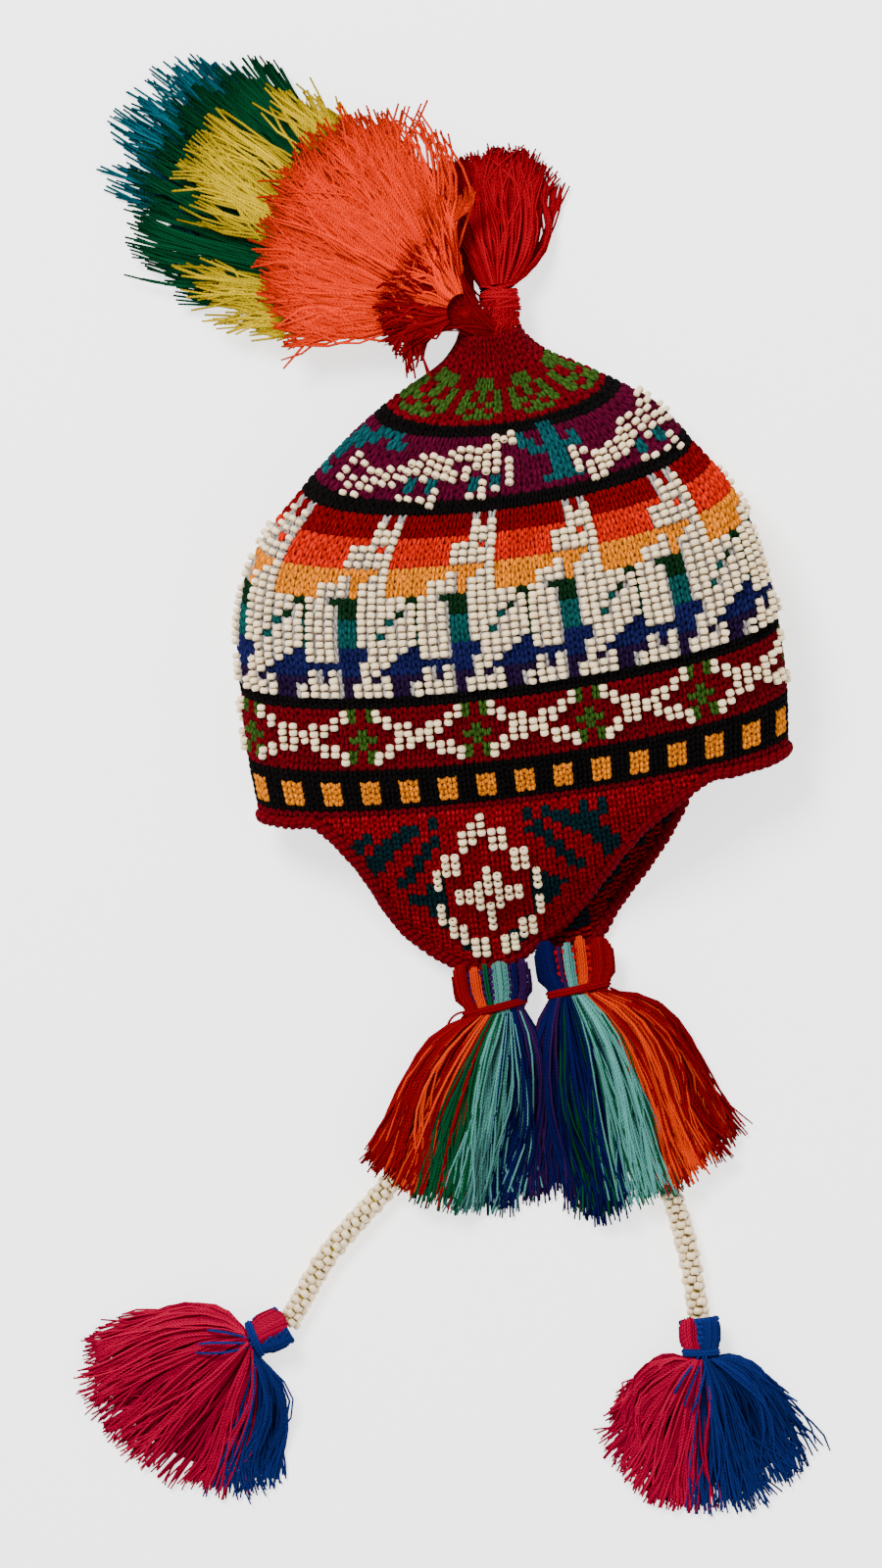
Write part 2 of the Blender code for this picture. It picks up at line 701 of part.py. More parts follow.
def make_layer(name, level, fan, length, colour, centre):
    """One layer of the plume, a fan of locks stacked on the longer layer below it."""
    bottom = FLOOR_GAP + level * (PLUME_LAYER_DEPTH + GAP)
    reach = 0.5 * KNOT_WIDTH + 2.0 * GAP
    roots = []
    for k in range(LOCK_COLUMNS + 1):
        across = 0.5 - 0.5 * math.cos(math.pi * k / LOCK_COLUMNS)
        turn = math.radians(row_at(fan, across)[0])
        roots.append(Vector((reach * math.cos(turn), reach * math.sin(turn), 0.0)))

    def depth(out):
        return (PLUME_LAYER_DEPTH - 2.5 * TIP_EDGE) * (1.0 - 0.6 * smooth_step(out))

    def floor(_across, _out):
        return bottom

    rings = [fan_ring(fan, length, roots, Vector(), out, floor, depth) for out in (0.0, 0.28, 0.6, 0.85, 1.0)]
    item = add_mesh(name, rings, colour, cap_start=True, cap_end=True)
    item.location = (centre.x, centre.y, 0.0)


def make_plume(crest):
    """The knot, the tuft and the five layers of the plume."""
    make_tuft(crest)
    centre = make_knot(crest)
    layers = (
        ("plume_blue", BLUE_FAN, BLUE_LENGTH, BLUE),
        ("plume_green", GREEN_FAN, GREEN_LENGTH, GREEN),
        ("plume_yellow", YELLOW_FAN, YELLOW_LENGTH, YELLOW),
        ("plume_orange", ORANGE_FAN, ORANGE_LENGTH, ORANGE),
        ("plume_base_red", BASE_RED_FAN, BASE_RED_LENGTH, DARK_RED),
    )
    for level, (name, fan, length, colour) in enumerate(layers):
        make_layer(name, level, fan, length, colour, centre)


clear_scene()
EDGING_REACH = 0.5 * EDGING_DIAMETER + GAP
HAT = bpy.data.collections.new("chullo_hat")
bpy.context.scene.collection.children.link(HAT)
CROWN_FRAME = bpy.data.objects.new("crown_frame", None)
HAT.objects.link(CROWN_FRAME)
CROWN_FRAME.rotation_euler = (0.0, 0.0, CROWN_LEAN)
REST_MIDDLE = Vector((REST_SIDE * CROWN_WIDTH, REST_UP * CROWN_HEIGHT, 0.0))
CROWN_FRAME.location = -(Matrix.Rotation(CROWN_LEAN, 4, "Z") @ REST_MIDDLE)
bpy.context.view_layer.update()

neck_crest = CROWN_FRAME.matrix_world @ make_crown()
near_flap = Flap(NEAR_FLAP_ROWS, NEAR_FLAP_LENGTH, NEAR_TIP_LIFT, 1.0)
far_flap = Flap(FAR_FLAP_ROWS, FAR_FLAP_LENGTH, 0.0, -1.0)
make_flap("ear_flap_near", near_flap, -1.0)
make_flap("ear_flap_far", far_flap, -1.0)
make_edging(near_flap, far_flap)
left_rope = make_flap_tassel("near", near_flap, NEAR_TASSEL_FAN, "left", ROPE_LEFT_ROUTE, ROPE_UNDER_LEFT)
right_rope = make_flap_tassel("far", far_flap, FAR_TASSEL_FAN, "right", ROPE_RIGHT_ROUTE, ROPE_UNDER_RIGHT)
make_end_tassel("left", *left_rope, END_LEFT_HEADING, END_LEFT_FAN)
make_end_tassel("right", *right_rope, END_RIGHT_HEADING, END_RIGHT_FAN)
make_plume(neck_crest)
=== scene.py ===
"""Looks of a chullo hat: knitted stitches, sewn-on beads, bead ropes, tassels and a yarn plume.

Metres, +Z up. Crown and flaps are drawn in the crown's own frame, which leans a little from +Y.
Columns of stitches count from the left fold across the upper side and on round the lower one.
Rows count from the rim upwards on the crown, and from the rim downwards on the flaps.
"""

import math

import bpy
import numpy as np
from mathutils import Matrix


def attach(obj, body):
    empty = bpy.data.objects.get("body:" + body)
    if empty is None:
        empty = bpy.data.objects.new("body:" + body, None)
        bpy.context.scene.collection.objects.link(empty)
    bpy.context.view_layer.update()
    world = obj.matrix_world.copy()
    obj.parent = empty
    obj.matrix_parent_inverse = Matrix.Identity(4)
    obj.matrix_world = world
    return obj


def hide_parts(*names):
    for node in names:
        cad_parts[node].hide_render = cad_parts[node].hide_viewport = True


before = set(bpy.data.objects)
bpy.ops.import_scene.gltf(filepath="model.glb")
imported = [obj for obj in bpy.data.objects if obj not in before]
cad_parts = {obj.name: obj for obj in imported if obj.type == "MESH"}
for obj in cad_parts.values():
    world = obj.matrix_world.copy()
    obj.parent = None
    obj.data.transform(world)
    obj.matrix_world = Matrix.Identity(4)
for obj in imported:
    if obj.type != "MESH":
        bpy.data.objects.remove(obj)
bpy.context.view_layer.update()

RANDOM = np.random.default_rng(11)
MM = 0.001

# Crown and flaps, as the solids have them
CROWN_WIDTH = 0.242
CROWN_HEIGHT = 0.200
CROWN_DEPTH = 0.076
LEAN = math.radians(7.3)
REST_MIDDLE = np.array([0.015 * CROWN_WIDTH, 0.33 * CROWN_HEIGHT, 0.0])
FLAP_WIDTH = 0.163
NEAR_FLAP_LENGTH = 0.082
FAR_FLAP_LENGTH = 0.078
FLAP_TIP_ROUND = 0.007
NEAR_TIP_LIFT = 0.013
EDGING_DIAMETER = 0.0054
GAP = 0.0003
FLOOR_GAP = 0.0004
LOWEST = 0.0001
FAR_SIDE_FLATTENING = 1.25
FAR_SIDE_SAG = 0.3
CROWN_ROWS = (
    (0.00, 0.489, 0.499, 0.32, 0.74, 0.050),
    (0.13, 0.495, 0.508, 0.40, 0.90, 0.069),
    (0.29, 0.491, 0.506, 0.45, 1.00, 0.077),
    (0.44, 0.477, 0.491, 0.45, 1.00, 0.082),
    (0.57, 0.431, 0.457, 0.42, 0.95, 0.087),
    (0.69, 0.337, 0.394, 0.38, 0.86, 0.089),
    (0.79, 0.242, 0.330, 0.34, 0.72, 0.082),
    (0.87, 0.147, 0.240, 0.28, 0.57, 0.064),
    (0.93, 0.055, 0.155, 0.23, 0.46, 0.045),
    (0.97, 0.022, 0.122, 0.205, 0.41, 0.025),
    (1.00, 0.009, 0.106, 0.200, 0.40, 0.015),
)
NEAR_FLAP_ROWS = (
    (0.00, -0.540, 0.470),
    (0.10, -0.514, 0.415),
    (0.30, -0.457, 0.290),
    (0.50, -0.412, 0.205),
    (0.65, -0.386, 0.146),
    (0.85, -0.330, 0.060),
    (1.00, -0.258, -0.042),
)
FAR_FLAP_ROWS = (
    (0.00, -0.420, 0.460),
    (0.15, -0.350, 0.440),
    (0.35, -0.260, 0.390),
    (0.60, -0.150, 0.305),
    (0.85, -0.055, 0.205),
    (1.00, 0.010, 0.158),
)

# Knitting
CLOTH_SINK = 0.0014
CLOTH_WALL = 0.0015
CLOTH_FACE = 0.0001
# Painted shade: the cloth between and under the stitches is darkened to this share of its yarn's colour
CLOTH_PAINTED_SHADE = 0.22
# Painted shade: the inside face of the crown is darkened to this share of its yarn's colour
CROWN_INNER_PAINTED_SHADE = 2.6 * CLOTH_PAINTED_SHADE
FLAP_OVERHANG = 0.022
FLAP_ROW_OVERHANG = 0.3
FLAP_CLOTH_GRID = (19, 25)
FLAP_REACH = 24
FLAP_CHART_MIDDLE = 16
FLAP_PURL_TEAL_SHARE = 0.12
SOLID_WALL = 0.0015
LOW_SIDE_ROUNDING = 0.004
BEAD_ROOM = 0.0031
COLUMNS = 132
NEAR_COLUMNS = 64
STITCH_WIDTH = 0.0042
STITCH_HEIGHT = 0.0028
SHARE_PER_STITCH = 0.0342
FOLD_START = 0.86
FOLD_BLEND = 0.12
COUNT_STEPS = 2880
COUNT_HEIGHT = 0.3
LEG_WIDTH = 0.00098
LEG_THICKNESS = 0.00100
PURL_WIDTH = 0.0010
PURL_THICKNESS = 0.0009
LEG_MAP_LENGTH = 2.4
MAP_SHIFT = np.array([0.0, 9.0])
TIP_TAPER = 0.75
FIRST_RIB_ROW = 66
RIB_SINK = 0.0003
UPPER_ROW = 26
BEAD_RADIUS = 0.00200
BEAD_LENGTH = 0.00285
BEAD_LIFT = 0.0024
PRESSED = 0.72
BEAD_SPACING = 12.0 / 11.2

# Row boundaries: row, share of the crown's height
ROW_MARKS = ((0, 0.0), (1, 0.015), (8, 0.119), (17, 0.262), (19, 0.287), (44, 0.69), (46, 0.72), (54, 0.838),
             (56, 0.858), (64, 0.935), (70, 1.0))
# Zones of the crown: first row, last row, stitches round
ZONES = ((0, 46, 132), (46, 56, 80), (56, 64, 48), (64, 70, 22))
# Bands of yarn from the rim up, each with its rows
BANDS = (("edge", 1), ("black", 7), ("crimson", 9), ("black", 2), ("purple", 3), ("navy", 4), ("teal", 4),
         ("green", 3), ("gold", 4), ("orange", 4), ("scarlet", 3), ("black", 2), ("magenta", 8), ("black", 2),
         ("wine", 8), ("wine", 6))
# How far the columns spread from the middle of the upper side: row, spread
SPREAD = ((0, 1.05), (8, 1.05), (12, 1.022), (20, 1.02), (32, 1.05), (44, 1.10), (70, 1.10))
SPREAD_MIDDLE = 33.0
SPREAD_REACH = 30.0
# The squares of the rim's band: rows, stitches from one square to the next, and the gold ones of these
SQUARE_ROWS = (2, 6)
SQUARE_PITCH = 4
SQUARE_COLUMNS = (3, 0)
REPEAT = 12

YARNS = ("black", "crimson", "gold", "orange", "scarlet", "green", "teal", "navy", "purple", "magenta",
         "tree", "leaf", "wine", "white", "flap_red", "flap_teal", "edge")
COLOURS = {
    "black": (0.004, 0.003, 0.003), "crimson": (0.11, 0.001, 0.005), "gold": (0.68, 0.185, 0.0003),
    "orange": (0.52, 0.008, 0.0005), "scarlet": (0.15, 0.0002, 0.001), "green": (0.003, 0.019, 0.006),
    "teal": (0.002, 0.058, 0.056), "navy": (0.007, 0.008, 0.055), "purple": (0.012, 0.004, 0.024),
    "magenta": (0.064, 0.001, 0.014), "tree": (0.004, 0.060, 0.068), "leaf": (0.030, 0.072, 0.009),
    "wine": (0.115, 0.001, 0.005), "white": (0.34, 0.30, 0.28), "flap_red": (0.185, 0.001, 0.006),
    "flap_teal": (0.002, 0.013, 0.017), "edge": (0.10, 0.001, 0.005),
}
BEAD_COLOUR = (0.84, 0.66, 0.40)
# Scale at which the wave texture has one band a unit, and how far fibres stand out beside the plies
BAND_SCALE = 0.6283
FIBRE_HEIGHT = 0.35

# Charts, top row first. # is a bead, the letters are yarn.
CROSS = (
    "#.......#",
    "##.....##",
    ".###.###.",
    "..#####..",
    "..####...",
    ".###.###.",
    "##....###",
    "#.......#",
)
LEAVES = (
    "L.L",
    "L.L",
    "...",
    ".L.",
    "LLL",
    ".L.",
    "L.L",
    "L.L",
)
LLAMA = (
    "..#.#.......",
    "..###.......",
    "..###.......",
    "###.#.......",
    "#####.......",
    "#####.......",
    "....#.......",
    "...##......#",
    "..###....###",
    "..###....###",
    "..#####.##..",
    "..#########.",
    "..####.####.",
    "..###.#####.",
    "..#########.",
    "..##.######.",
    "..#########.",
    "...####.###.",
    "...###..###.",
    "..###.......",
    "..##....#.#.",
    "..#.#...#.#.",
    ".####..####.",
    ".####..####.",
)
# Beads of a running animal: bead column, lowest row, beads above one another
RUNNER = (
    (-7.0, 1.0, 4), (-5.85, -0.6, 3), (-5.85, 3.3, 1), (-4.8, -0.4, 4), (-3.9, 0.5, 3), (-2.9, 1.2, 3),
    (-1.8, 1.3, 3), (-0.95, 2.1, 3), (0.0, 3.0, 3), (1.0, 2.2, 4), (1.9, 2.7, 3), (2.85, 2.4, 4),
    (3.8, 4.8, 2), (3.7, 1.9, 2), (4.8, 4.8, 2), (4.8, 2.3, 2), (5.8, 3.6, 3), (6.8, 2.9, 4), (7.8, 3.0, 5),
    (8.7, 6.7, 1), (9.7, 6.3, 2), (9.1, 1.0, 4), (-0.5, -0.4, 1), (0.4, -0.6, 1), (1.5, -0.6, 1),
    (2.5, -1.4, 3), (5.7, -0.3, 1), (6.7, -0.6, 3), (7.9, 0.3, 1),
)
RUNNERS = (17.6, 53.6, 97.6)
RUNNER_ROW = 46.5
RUNNER_STEP = 0.98
RUNNER_FRONT_PITCH = 1.67
RUNNER_BACK_PITCH = 1.42
# Dark stitches beside the animal's legs: how far along it they stand, and their rows
LEG_MARKS = (-0.4, 1.6, 5.6, 8.0)
LEG_ROWS = (47, 48)
LEG_PITCH = 1.6
LLAMA_TOP = 42
LLAMA_START = 4.6
LLAMA_NECK = 2
CROSS_TOP = 16
CROSS_START = 9.5
CROSS_MIDDLE = 4
TREE = (
    "...TT..",
    "T..TT..",
    "TT.TT.T",
    ".TTTTTT",
    "...TT..",
    "...TT..",
    "...TT..",
    "..TTTT.",
)
ARCH = (
    "....TTT.",
    "..TTT.TT",
    "..TT....",
    ".TT.....",
    ".TT.....",
    "TT......",
    "TTT.....",
)
FLOWER = (
    ".GGG.",
    ".GGG.",
    "G.G.G",
    "G.G.G",
    "GG.GG",
    "G.G.G",
    ".GGG.",
)
RING = (
    ".....#.....",
    "....##.....",
    "...#####...",
    "...##.##...",
    "...#..##...",
    ".##.....##.",
    ".##.....##.",
    "###..#..##.",
    "#....##...#",
    "#...###...#",
    "..#######.#",
    "..###.###..",
    "#...###...#",
    "#....#....#",
    "##...#....#",
    ".##..#..##.",
    ".##.....##.",
    "..###.####.",
    "...##.##...",
    "...##.##...",
)
FLAP_CHART = (
    "................................",
    "...........T.........T.T...T.T..",
    "........TT.T.........T.TTT.T.T..",
    ".T..T..TTT............T.TTTTTT..",
    ".T.TT.TTT..T.........TT..TTTT...",
    ".TTT.TTT..TT..........TT..TTT...",
    "..TT.TT...T............T...TTT..",
    "..T.TTT..TT............TT...TT..",
    "....TT...T..............T...TTT.",
    "...TTT..TT..............TT...TT.",
    "...TT...T..T.............T...TT.",
    "...TT..TT..T.........T...TT..T..",
    "...T...T..TT.........TT...T.....",
    "..........TT.........TTT........",
    "........TTTT.........TTTT.......",
    "........TTTT.........TTT........",
    "..........TT.........TTT........",
    "..........TT.........TT.........",
    "...........T.........T..........",
    "...........T........T...........",
    "................................",
    "............T.....TT............",
    ".............TT...TT............",
    ".............TTT.TTT............",
    "................................",
    "................................",
)
# Beads of the ring on a flap: spacing in columns, first row, spacing in rows
RING_COLUMN = 1.04
RING_TOP = 1.5
RING_ROW = 1.2
# Charts of yarn on the crown: chart, top row, first columns, yarn
STAMPS = (
    (LEAVES, 16, range(2, 2 + COLUMNS, REPEAT), "leaf"),
    (ARCH, 53, (0, 40), "tree"),
    (TREE, 54, (21, 48, 70), "tree"),
    (FLOWER, 63, range(1, 49, 6), "leaf"),
)


def unit(vectors):
    """Vectors of length one."""
    return vectors / np.maximum(np.linalg.norm(vectors, axis=-1, keepdims=True), 1e-12)


def smooth_step(share):
    """Ease from 0 to 1, flat at both ends."""
    share = np.clip(share, 0.0, 1.0)
    return share * share * (3.0 - 2.0 * share)


def rows_at(rows, share):
    """A table's columns at shares of its first one, on a smooth curve through its rows."""
    table = np.array(rows)
    share = np.clip(share, table[0, 0], table[-1, 0])
    index = np.clip(np.searchsorted(table[:, 0], share, side="right") - 1, 0, len(table) - 2)
    before, start = table[np.maximum(index - 1, 0)], table[index]
    end, after = table[index + 1], table[np.minimum(index + 2, len(table) - 1)]
    span = (end[..., 0] - start[..., 0])[..., None]
    part = ((share - start[..., 0]) / span[..., 0])[..., None]
    slope_in = (end - before) / (end[..., :1] - before[..., :1]) * span
    slope_out = (after - start) / (after[..., :1] - start[..., :1]) * span
    cubic = 2.0 * start - 2.0 * end + slope_in + slope_out
    square = 3.0 * end - 3.0 * start - 2.0 * slope_in - slope_out
    values = ((cubic * part + square) * part + slope_in) * part + start
    return [values[..., i] for i in range(1, table.shape[1])]


TURN = np.array([
    [math.cos(LEAN), -math.sin(LEAN), 0.0],
    [math.sin(LEAN), math.cos(LEAN), 0.0],
    [0.0, 0.0, 1.0],
])


def to_world(points):
    """From the crown's leaning frame to the row frame."""
    return (points - REST_MIDDLE) @ TURN.T


def crown_place(angle, up, inset=0.0, room=0.0):
    """Point of the crown's wall; angle 0 is the right fold, 90 degrees the top. Room lifts its lower side."""
    left, right, fold, top, sag = rows_at(CROWN_ROWS, up)
    half = 0.5 * (left + right) * CROWN_WIDTH - inset
    middle = 0.5 * (right - left) * CROWN_WIDTH
    fold_height = fold * CROWN_DEPTH
    around = np.sin(angle)
    near = fold_height + (top * CROWN_DEPTH - fold_height - inset) * around
    low = fold_height * (1.0 + FAR_SIDE_FLATTENING * around)
    low = 0.5 * (low + np.sqrt(low * low + LOW_SIDE_ROUNDING ** 2))
    low = np.maximum(low, inset) + room * smooth_step(-around / 0.6)
    height = np.where(around >= 0.0, near, low)
    drop = np.where(around >= 0.0, around, -FAR_SIDE_SAG * around) * sag * CROWN_WIDTH
    return np.stack([middle + half * np.cos(angle), up * CROWN_HEIGHT - drop, height], axis=-1)


def rim_size():
    """Middle and half of the rim's width."""
    left, right = CROWN_ROWS[0][1:3]
    return 0.5 * (right - left) * CROWN_WIDTH, 0.5 * (left + right) * CROWN_WIDTH


def column_table():
    """Stitches counted from the right fold, against the angle round the crown."""
    angles = np.linspace(0.0, 2.0 * math.pi, COUNT_STEPS + 1)
    middle = 0.5 * (angles[1:] + angles[:-1])
    ring = crown_place(angles, np.full(angles.shape, COUNT_HEIGHT))
    arc = np.linalg.norm(np.diff(ring, axis=0), axis=1)
    flat = np.abs(np.diff(np.cos(angles))) / SHARE_PER_STITCH
    blend = smooth_step((np.abs(np.cos(middle)) - FOLD_START) / FOLD_BLEND)
    near = np.sin(middle) > 0.0
    pace = np.where(near, flat * (1.0 - blend) + arc / STITCH_WIDTH * blend, arc)
    pace[near] *= NEAR_COLUMNS / pace[near].sum()
    pace[~near] *= (COLUMNS - NEAR_COLUMNS) / pace[~near].sum()
    return angles, np.concatenate([[0.0], np.cumsum(pace)])


ANGLES, COUNTED = column_table()


def angle_of(column, row):
    """Angle round the crown at a column, which spreads a little from the middle with the rows."""
    marks = np.array(SPREAD)
    half = 0.5 * COLUMNS
    aside = (column - SPREAD_MIDDLE + half) % COLUMNS - half
    window = 1.0 - smooth_step((np.abs(aside) - SPREAD_REACH) / (half - SPREAD_REACH))
    column = column + (np.interp(row, marks[:, 0], marks[:, 1]) - 1.0) * aside * window
    counted = NEAR_COLUMNS - column
    laps = np.floor(counted / COLUMNS)
    return np.interp(counted - laps * COLUMNS, COUNTED, ANGLES) + laps * 2.0 * math.pi


def up_of(row):
    """Share of the crown's height at a row."""
    marks = np.array(ROW_MARKS)
    return np.interp(row, marks[:, 0], marks[:, 1]) + np.minimum(row, 0.0) * marks[1, 1]


class Knit:
    """A knitted surface on which stitches and beads are set by column and row."""

    def lay(self, column, row, lift):
        """Points that stand off the cloth by a lift."""
        step = 0.03
        across = self.spot(column + step, row) - self.spot(column - step, row)
        along = self.spot(column, row + step) - self.spot(column, row - step)
        normal = unit(np.cross(across, along)) * self.facing
        return self.spot(column, row) + normal * lift[..., None]

    def axes(self, column, row):
        """Place and three square directions at a column and a row: across, along, outwards."""
        step = 0.4
        across = unit(self.spot(column + step, row) - self.spot(column - step, row))
        along = self.spot(column, row + step) - self.spot(column, row - step)
        out = unit(np.cross(across, along)) * self.facing
        along = unit(along)
        across = unit(np.cross(along, out))
        return self.spot(column, row), across, along, out


class CrownKnit(Knit):
    """The crown's cloth."""

    facing = 1.0

    def spot(self, column, row):
        """Point of the cloth at a column and a row."""
        return to_world(crown_place(angle_of(column, row), up_of(row), CLOTH_SINK, BEAD_ROOM))


class FlapKnit(Knit):
    """A flap's cloth: columns count from its middle, rows from the rim."""

    count = len(FLAP_CHART)

    def __init__(self, rows, length, tip_height, sign, middle):
        self.rows, self.length, self.tip_height = rows, length, tip_height
        self.sign, self.middle = sign, middle
        self.facing = -sign

    def across(self, column, row):
        """Share of the way across the flap at a column and a row."""
        left, right = rows_at(self.rows, row / self.count)
        return ((column * STITCH_WIDTH + self.middle) / FLAP_WIDTH - left) / (right - left)

    def column_at(self, across, down):
        """Column at a share of the way across and of the way down."""
        left, right = rows_at(self.rows, np.clip(down, 0.0, 1.0))
        return ((left + (right - left) * across) * FLAP_WIDTH - self.middle) / STITCH_WIDTH

    def place(self, across, down, inset, room):
        """Point of the flap's face in the crown's frame."""
        left, right = rows_at(self.rows, down)
        side = FLAP_WIDTH * (left + (right - left) * across)
        top_left, top_right = self.rows[0][1:]
        rim_side = FLAP_WIDTH * (top_left + (top_right - top_left) * np.clip(across, -0.05, 1.05))
        rim_middle, rim_half = rim_size()
        angle = self.sign * np.arccos(np.clip((rim_side - rim_middle) / rim_half, -1.0, 1.0))
        rim = crown_place(angle, np.zeros(angle.shape), inset, room)
        bulge = 1.0 - (2.0 * across - 1.0) ** 2
        tip = -self.length + FLAP_TIP_ROUND * (1.0 - bulge)
        along = rim[..., 1] - GAP + (tip - rim[..., 1] + GAP) * down
        lift = room * np.clip(np.sin(math.pi * np.clip(across, 0.0, 1.0)), 0.0, 1.0)
        tip_height = self.tip_height - self.sign * inset + (lift if self.sign < 0.0 else 0.0)
        height = rim[..., 2] + (tip_height - rim[..., 2]) * smooth_step(down * 0.9 + 0.1 * down * down)
        return np.stack([side, along, height], axis=-1)

    def spot(self, column, row):
        """Point of the cloth at a column and a row."""
        return to_world(self.place(self.across(column, row), row / self.count, CLOTH_SINK, BEAD_ROOM))

    def solid_point(self, across, down, inset=0.0):
        """Point of the flap's solid wall, in the crown's frame."""
        return self.place(across, down, inset, 0.0)


class Piece:
    """One visible object, gathered from many small shapes."""

    def __init__(self, name, slot, replaced=(), materials=()):
        self.name, self.slot, self.replaced, self.materials = name, slot, replaced, list(materials)
        self.points, self.faces, self.slots, self.maps, self.tones = [], [], [], [], []
        self.count = 0

    def add(self, points, faces, slots, maps, tones):
        """Points (n, 3), quads (m, 4), each quad's material and corners' map (m, 4, 2), each point's tone."""
        self.points.append(points.reshape(-1, 3))
        self.faces.append(faces.reshape(-1, 4) + self.count)
        self.slots.append(np.broadcast_to(slots, (len(self.faces[-1]),)))
        self.maps.append(maps.reshape(-1, 2))
        self.tones.append(np.broadcast_to(tones, (len(self.points[-1]),)))
        self.count += len(self.points[-1])

    def add_faces(self, faces, slots):
        """Quads that use points already there, with no map of their own."""
        count = len(faces)
        self.add(np.zeros((0, 3)), faces, slots, np.zeros((count, 4, 2)), np.zeros(0))

    def build(self):
        """Make the object, all of it above the surface that it lies on."""
        points = np.concatenate(self.points)
        points[:, 2] = np.maximum(points[:, 2], LOWEST)
        faces = np.concatenate(self.faces)
        slots = np.concatenate(self.slots)
        maps = np.concatenate(self.maps).reshape(-1, 4, 2)
        tones = np.concatenate(self.tones)
        mesh = bpy.data.meshes.new(self.name)
        mesh.vertices.add(len(points))
        mesh.vertices.foreach_set("co", points.astype(np.float32).ravel())
        mesh.loops.add(len(faces) * 4)
        mesh.loops.foreach_set("vertex_index", faces.astype(np.int32).ravel())
        mesh.polygons.add(len(faces))
        mesh.polygons.foreach_set("loop_start", np.arange(0, len(faces) * 4, 4, dtype=np.int32))
        mesh.polygons.foreach_set("loop_total", np.full(len(faces), 4, dtype=np.int32))
        mesh.polygons.foreach_set("material_index", slots.astype(np.int32))
        mesh.polygons.foreach_set("use_smooth", np.ones(len(faces), dtype=bool))
        layer = mesh.uv_layers.new(name="yarn")
        layer.data.foreach_set("uv", maps.astype(np.float32).ravel())
        # The tone attribute holds random tone and, on cloth, cores and some yarns, painted shade
        tone = mesh.attributes.new("tone", "FLOAT", "POINT")
        tone.data.foreach_set("value", tones.astype(np.float32))
        for material in self.materials:
            mesh.materials.append(material)
        mesh.update()
        mesh.validate()
        item = bpy.data.objects.new(self.name, mesh)
        bpy.context.scene.collection.objects.link(item)
        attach(item, "root")
        if self.replaced:
            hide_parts(*self.replaced)
        return item


def grid_faces(rings, sides, closed=False):
    """Quads that join rings of points, and each corner's share round and along."""
    steps = sides if closed else sides - 1
    ring = np.arange(rings - 1)[:, None]
    side = np.arange(steps)[None, :]
    after = (side + 1) % sides
    quads = np.stack([ring * sides + side, ring * sides + after, (ring + 1) * sides + after,
                      (ring + 1) * sides + side], axis=-1)
    ring, side = ring + 0 * side, side + 0 * ring
    round_it = np.stack([side, side + 1, side + 1, side], axis=-1) / steps
    along = np.stack([ring, ring, ring + 1, ring + 1], axis=-1)
    return quads.reshape(-1, 4), round_it.reshape(-1, 4), along.reshape(-1, 4)


def repeat(faces, copies, size):
    """The same faces for many copies of a shape of so many points."""
    return faces[None] + (np.arange(copies) * size)[:, None, None]


def node(tree, kind, **values):
    """Add a shader node and set its sockets by name."""
    made = tree.nodes.new(kind)
    for key, value in values.items():
        made.inputs[key.replace("_", " ")].default_value = value
    return made


def product(tree, first, second):
    """Two values multiplied."""
    made = node(tree, "ShaderNodeMath")
    made.operation = "MULTIPLY"
    tree.links.new(first, made.inputs[0])
    tree.links.new(second, made.inputs[1])
    return made.outputs["Value"]


def between(tree, value, low, high):
    """A value from 0 to 1 brought between two limits."""
    made = node(tree, "ShaderNodeMapRange", To_Min=low, To_Max=high)
    tree.links.new(value, made.inputs["Value"])
    return made.outputs["Result"]


def noise(tree, **values):
    """Noise in the object's own space."""
    where = node(tree, "ShaderNodeTexCoord")
    made = node(tree, "ShaderNodeTexNoise", **values)
    tree.links.new(where.outputs["Object"], made.inputs["Vector"])
    return made.outputs["Fac"]


def new_material(name, colour, shade):
    """Material whose colour is scaled by each point's tone, random in places and painted shade in others, and
    by a shade, a function of its tree.
    """
    material = bpy.data.materials.new(name)
    material.use_nodes = True
    tree = material.node_tree
    tone = node(tree, "ShaderNodeAttribute")
    tone.attribute_name = "tone"
    tinted = node(tree, "ShaderNodeVectorMath")
    tinted.operation = "SCALE"
    tinted.inputs[0].default_value = colour
    tree.links.new(product(tree, shade(tree), tone.outputs["Fac"]), tinted.inputs["Scale"])
    tree.links.new(tinted.outputs["Vector"], tree.nodes["Principled BSDF"].inputs["Base Color"])
    return material


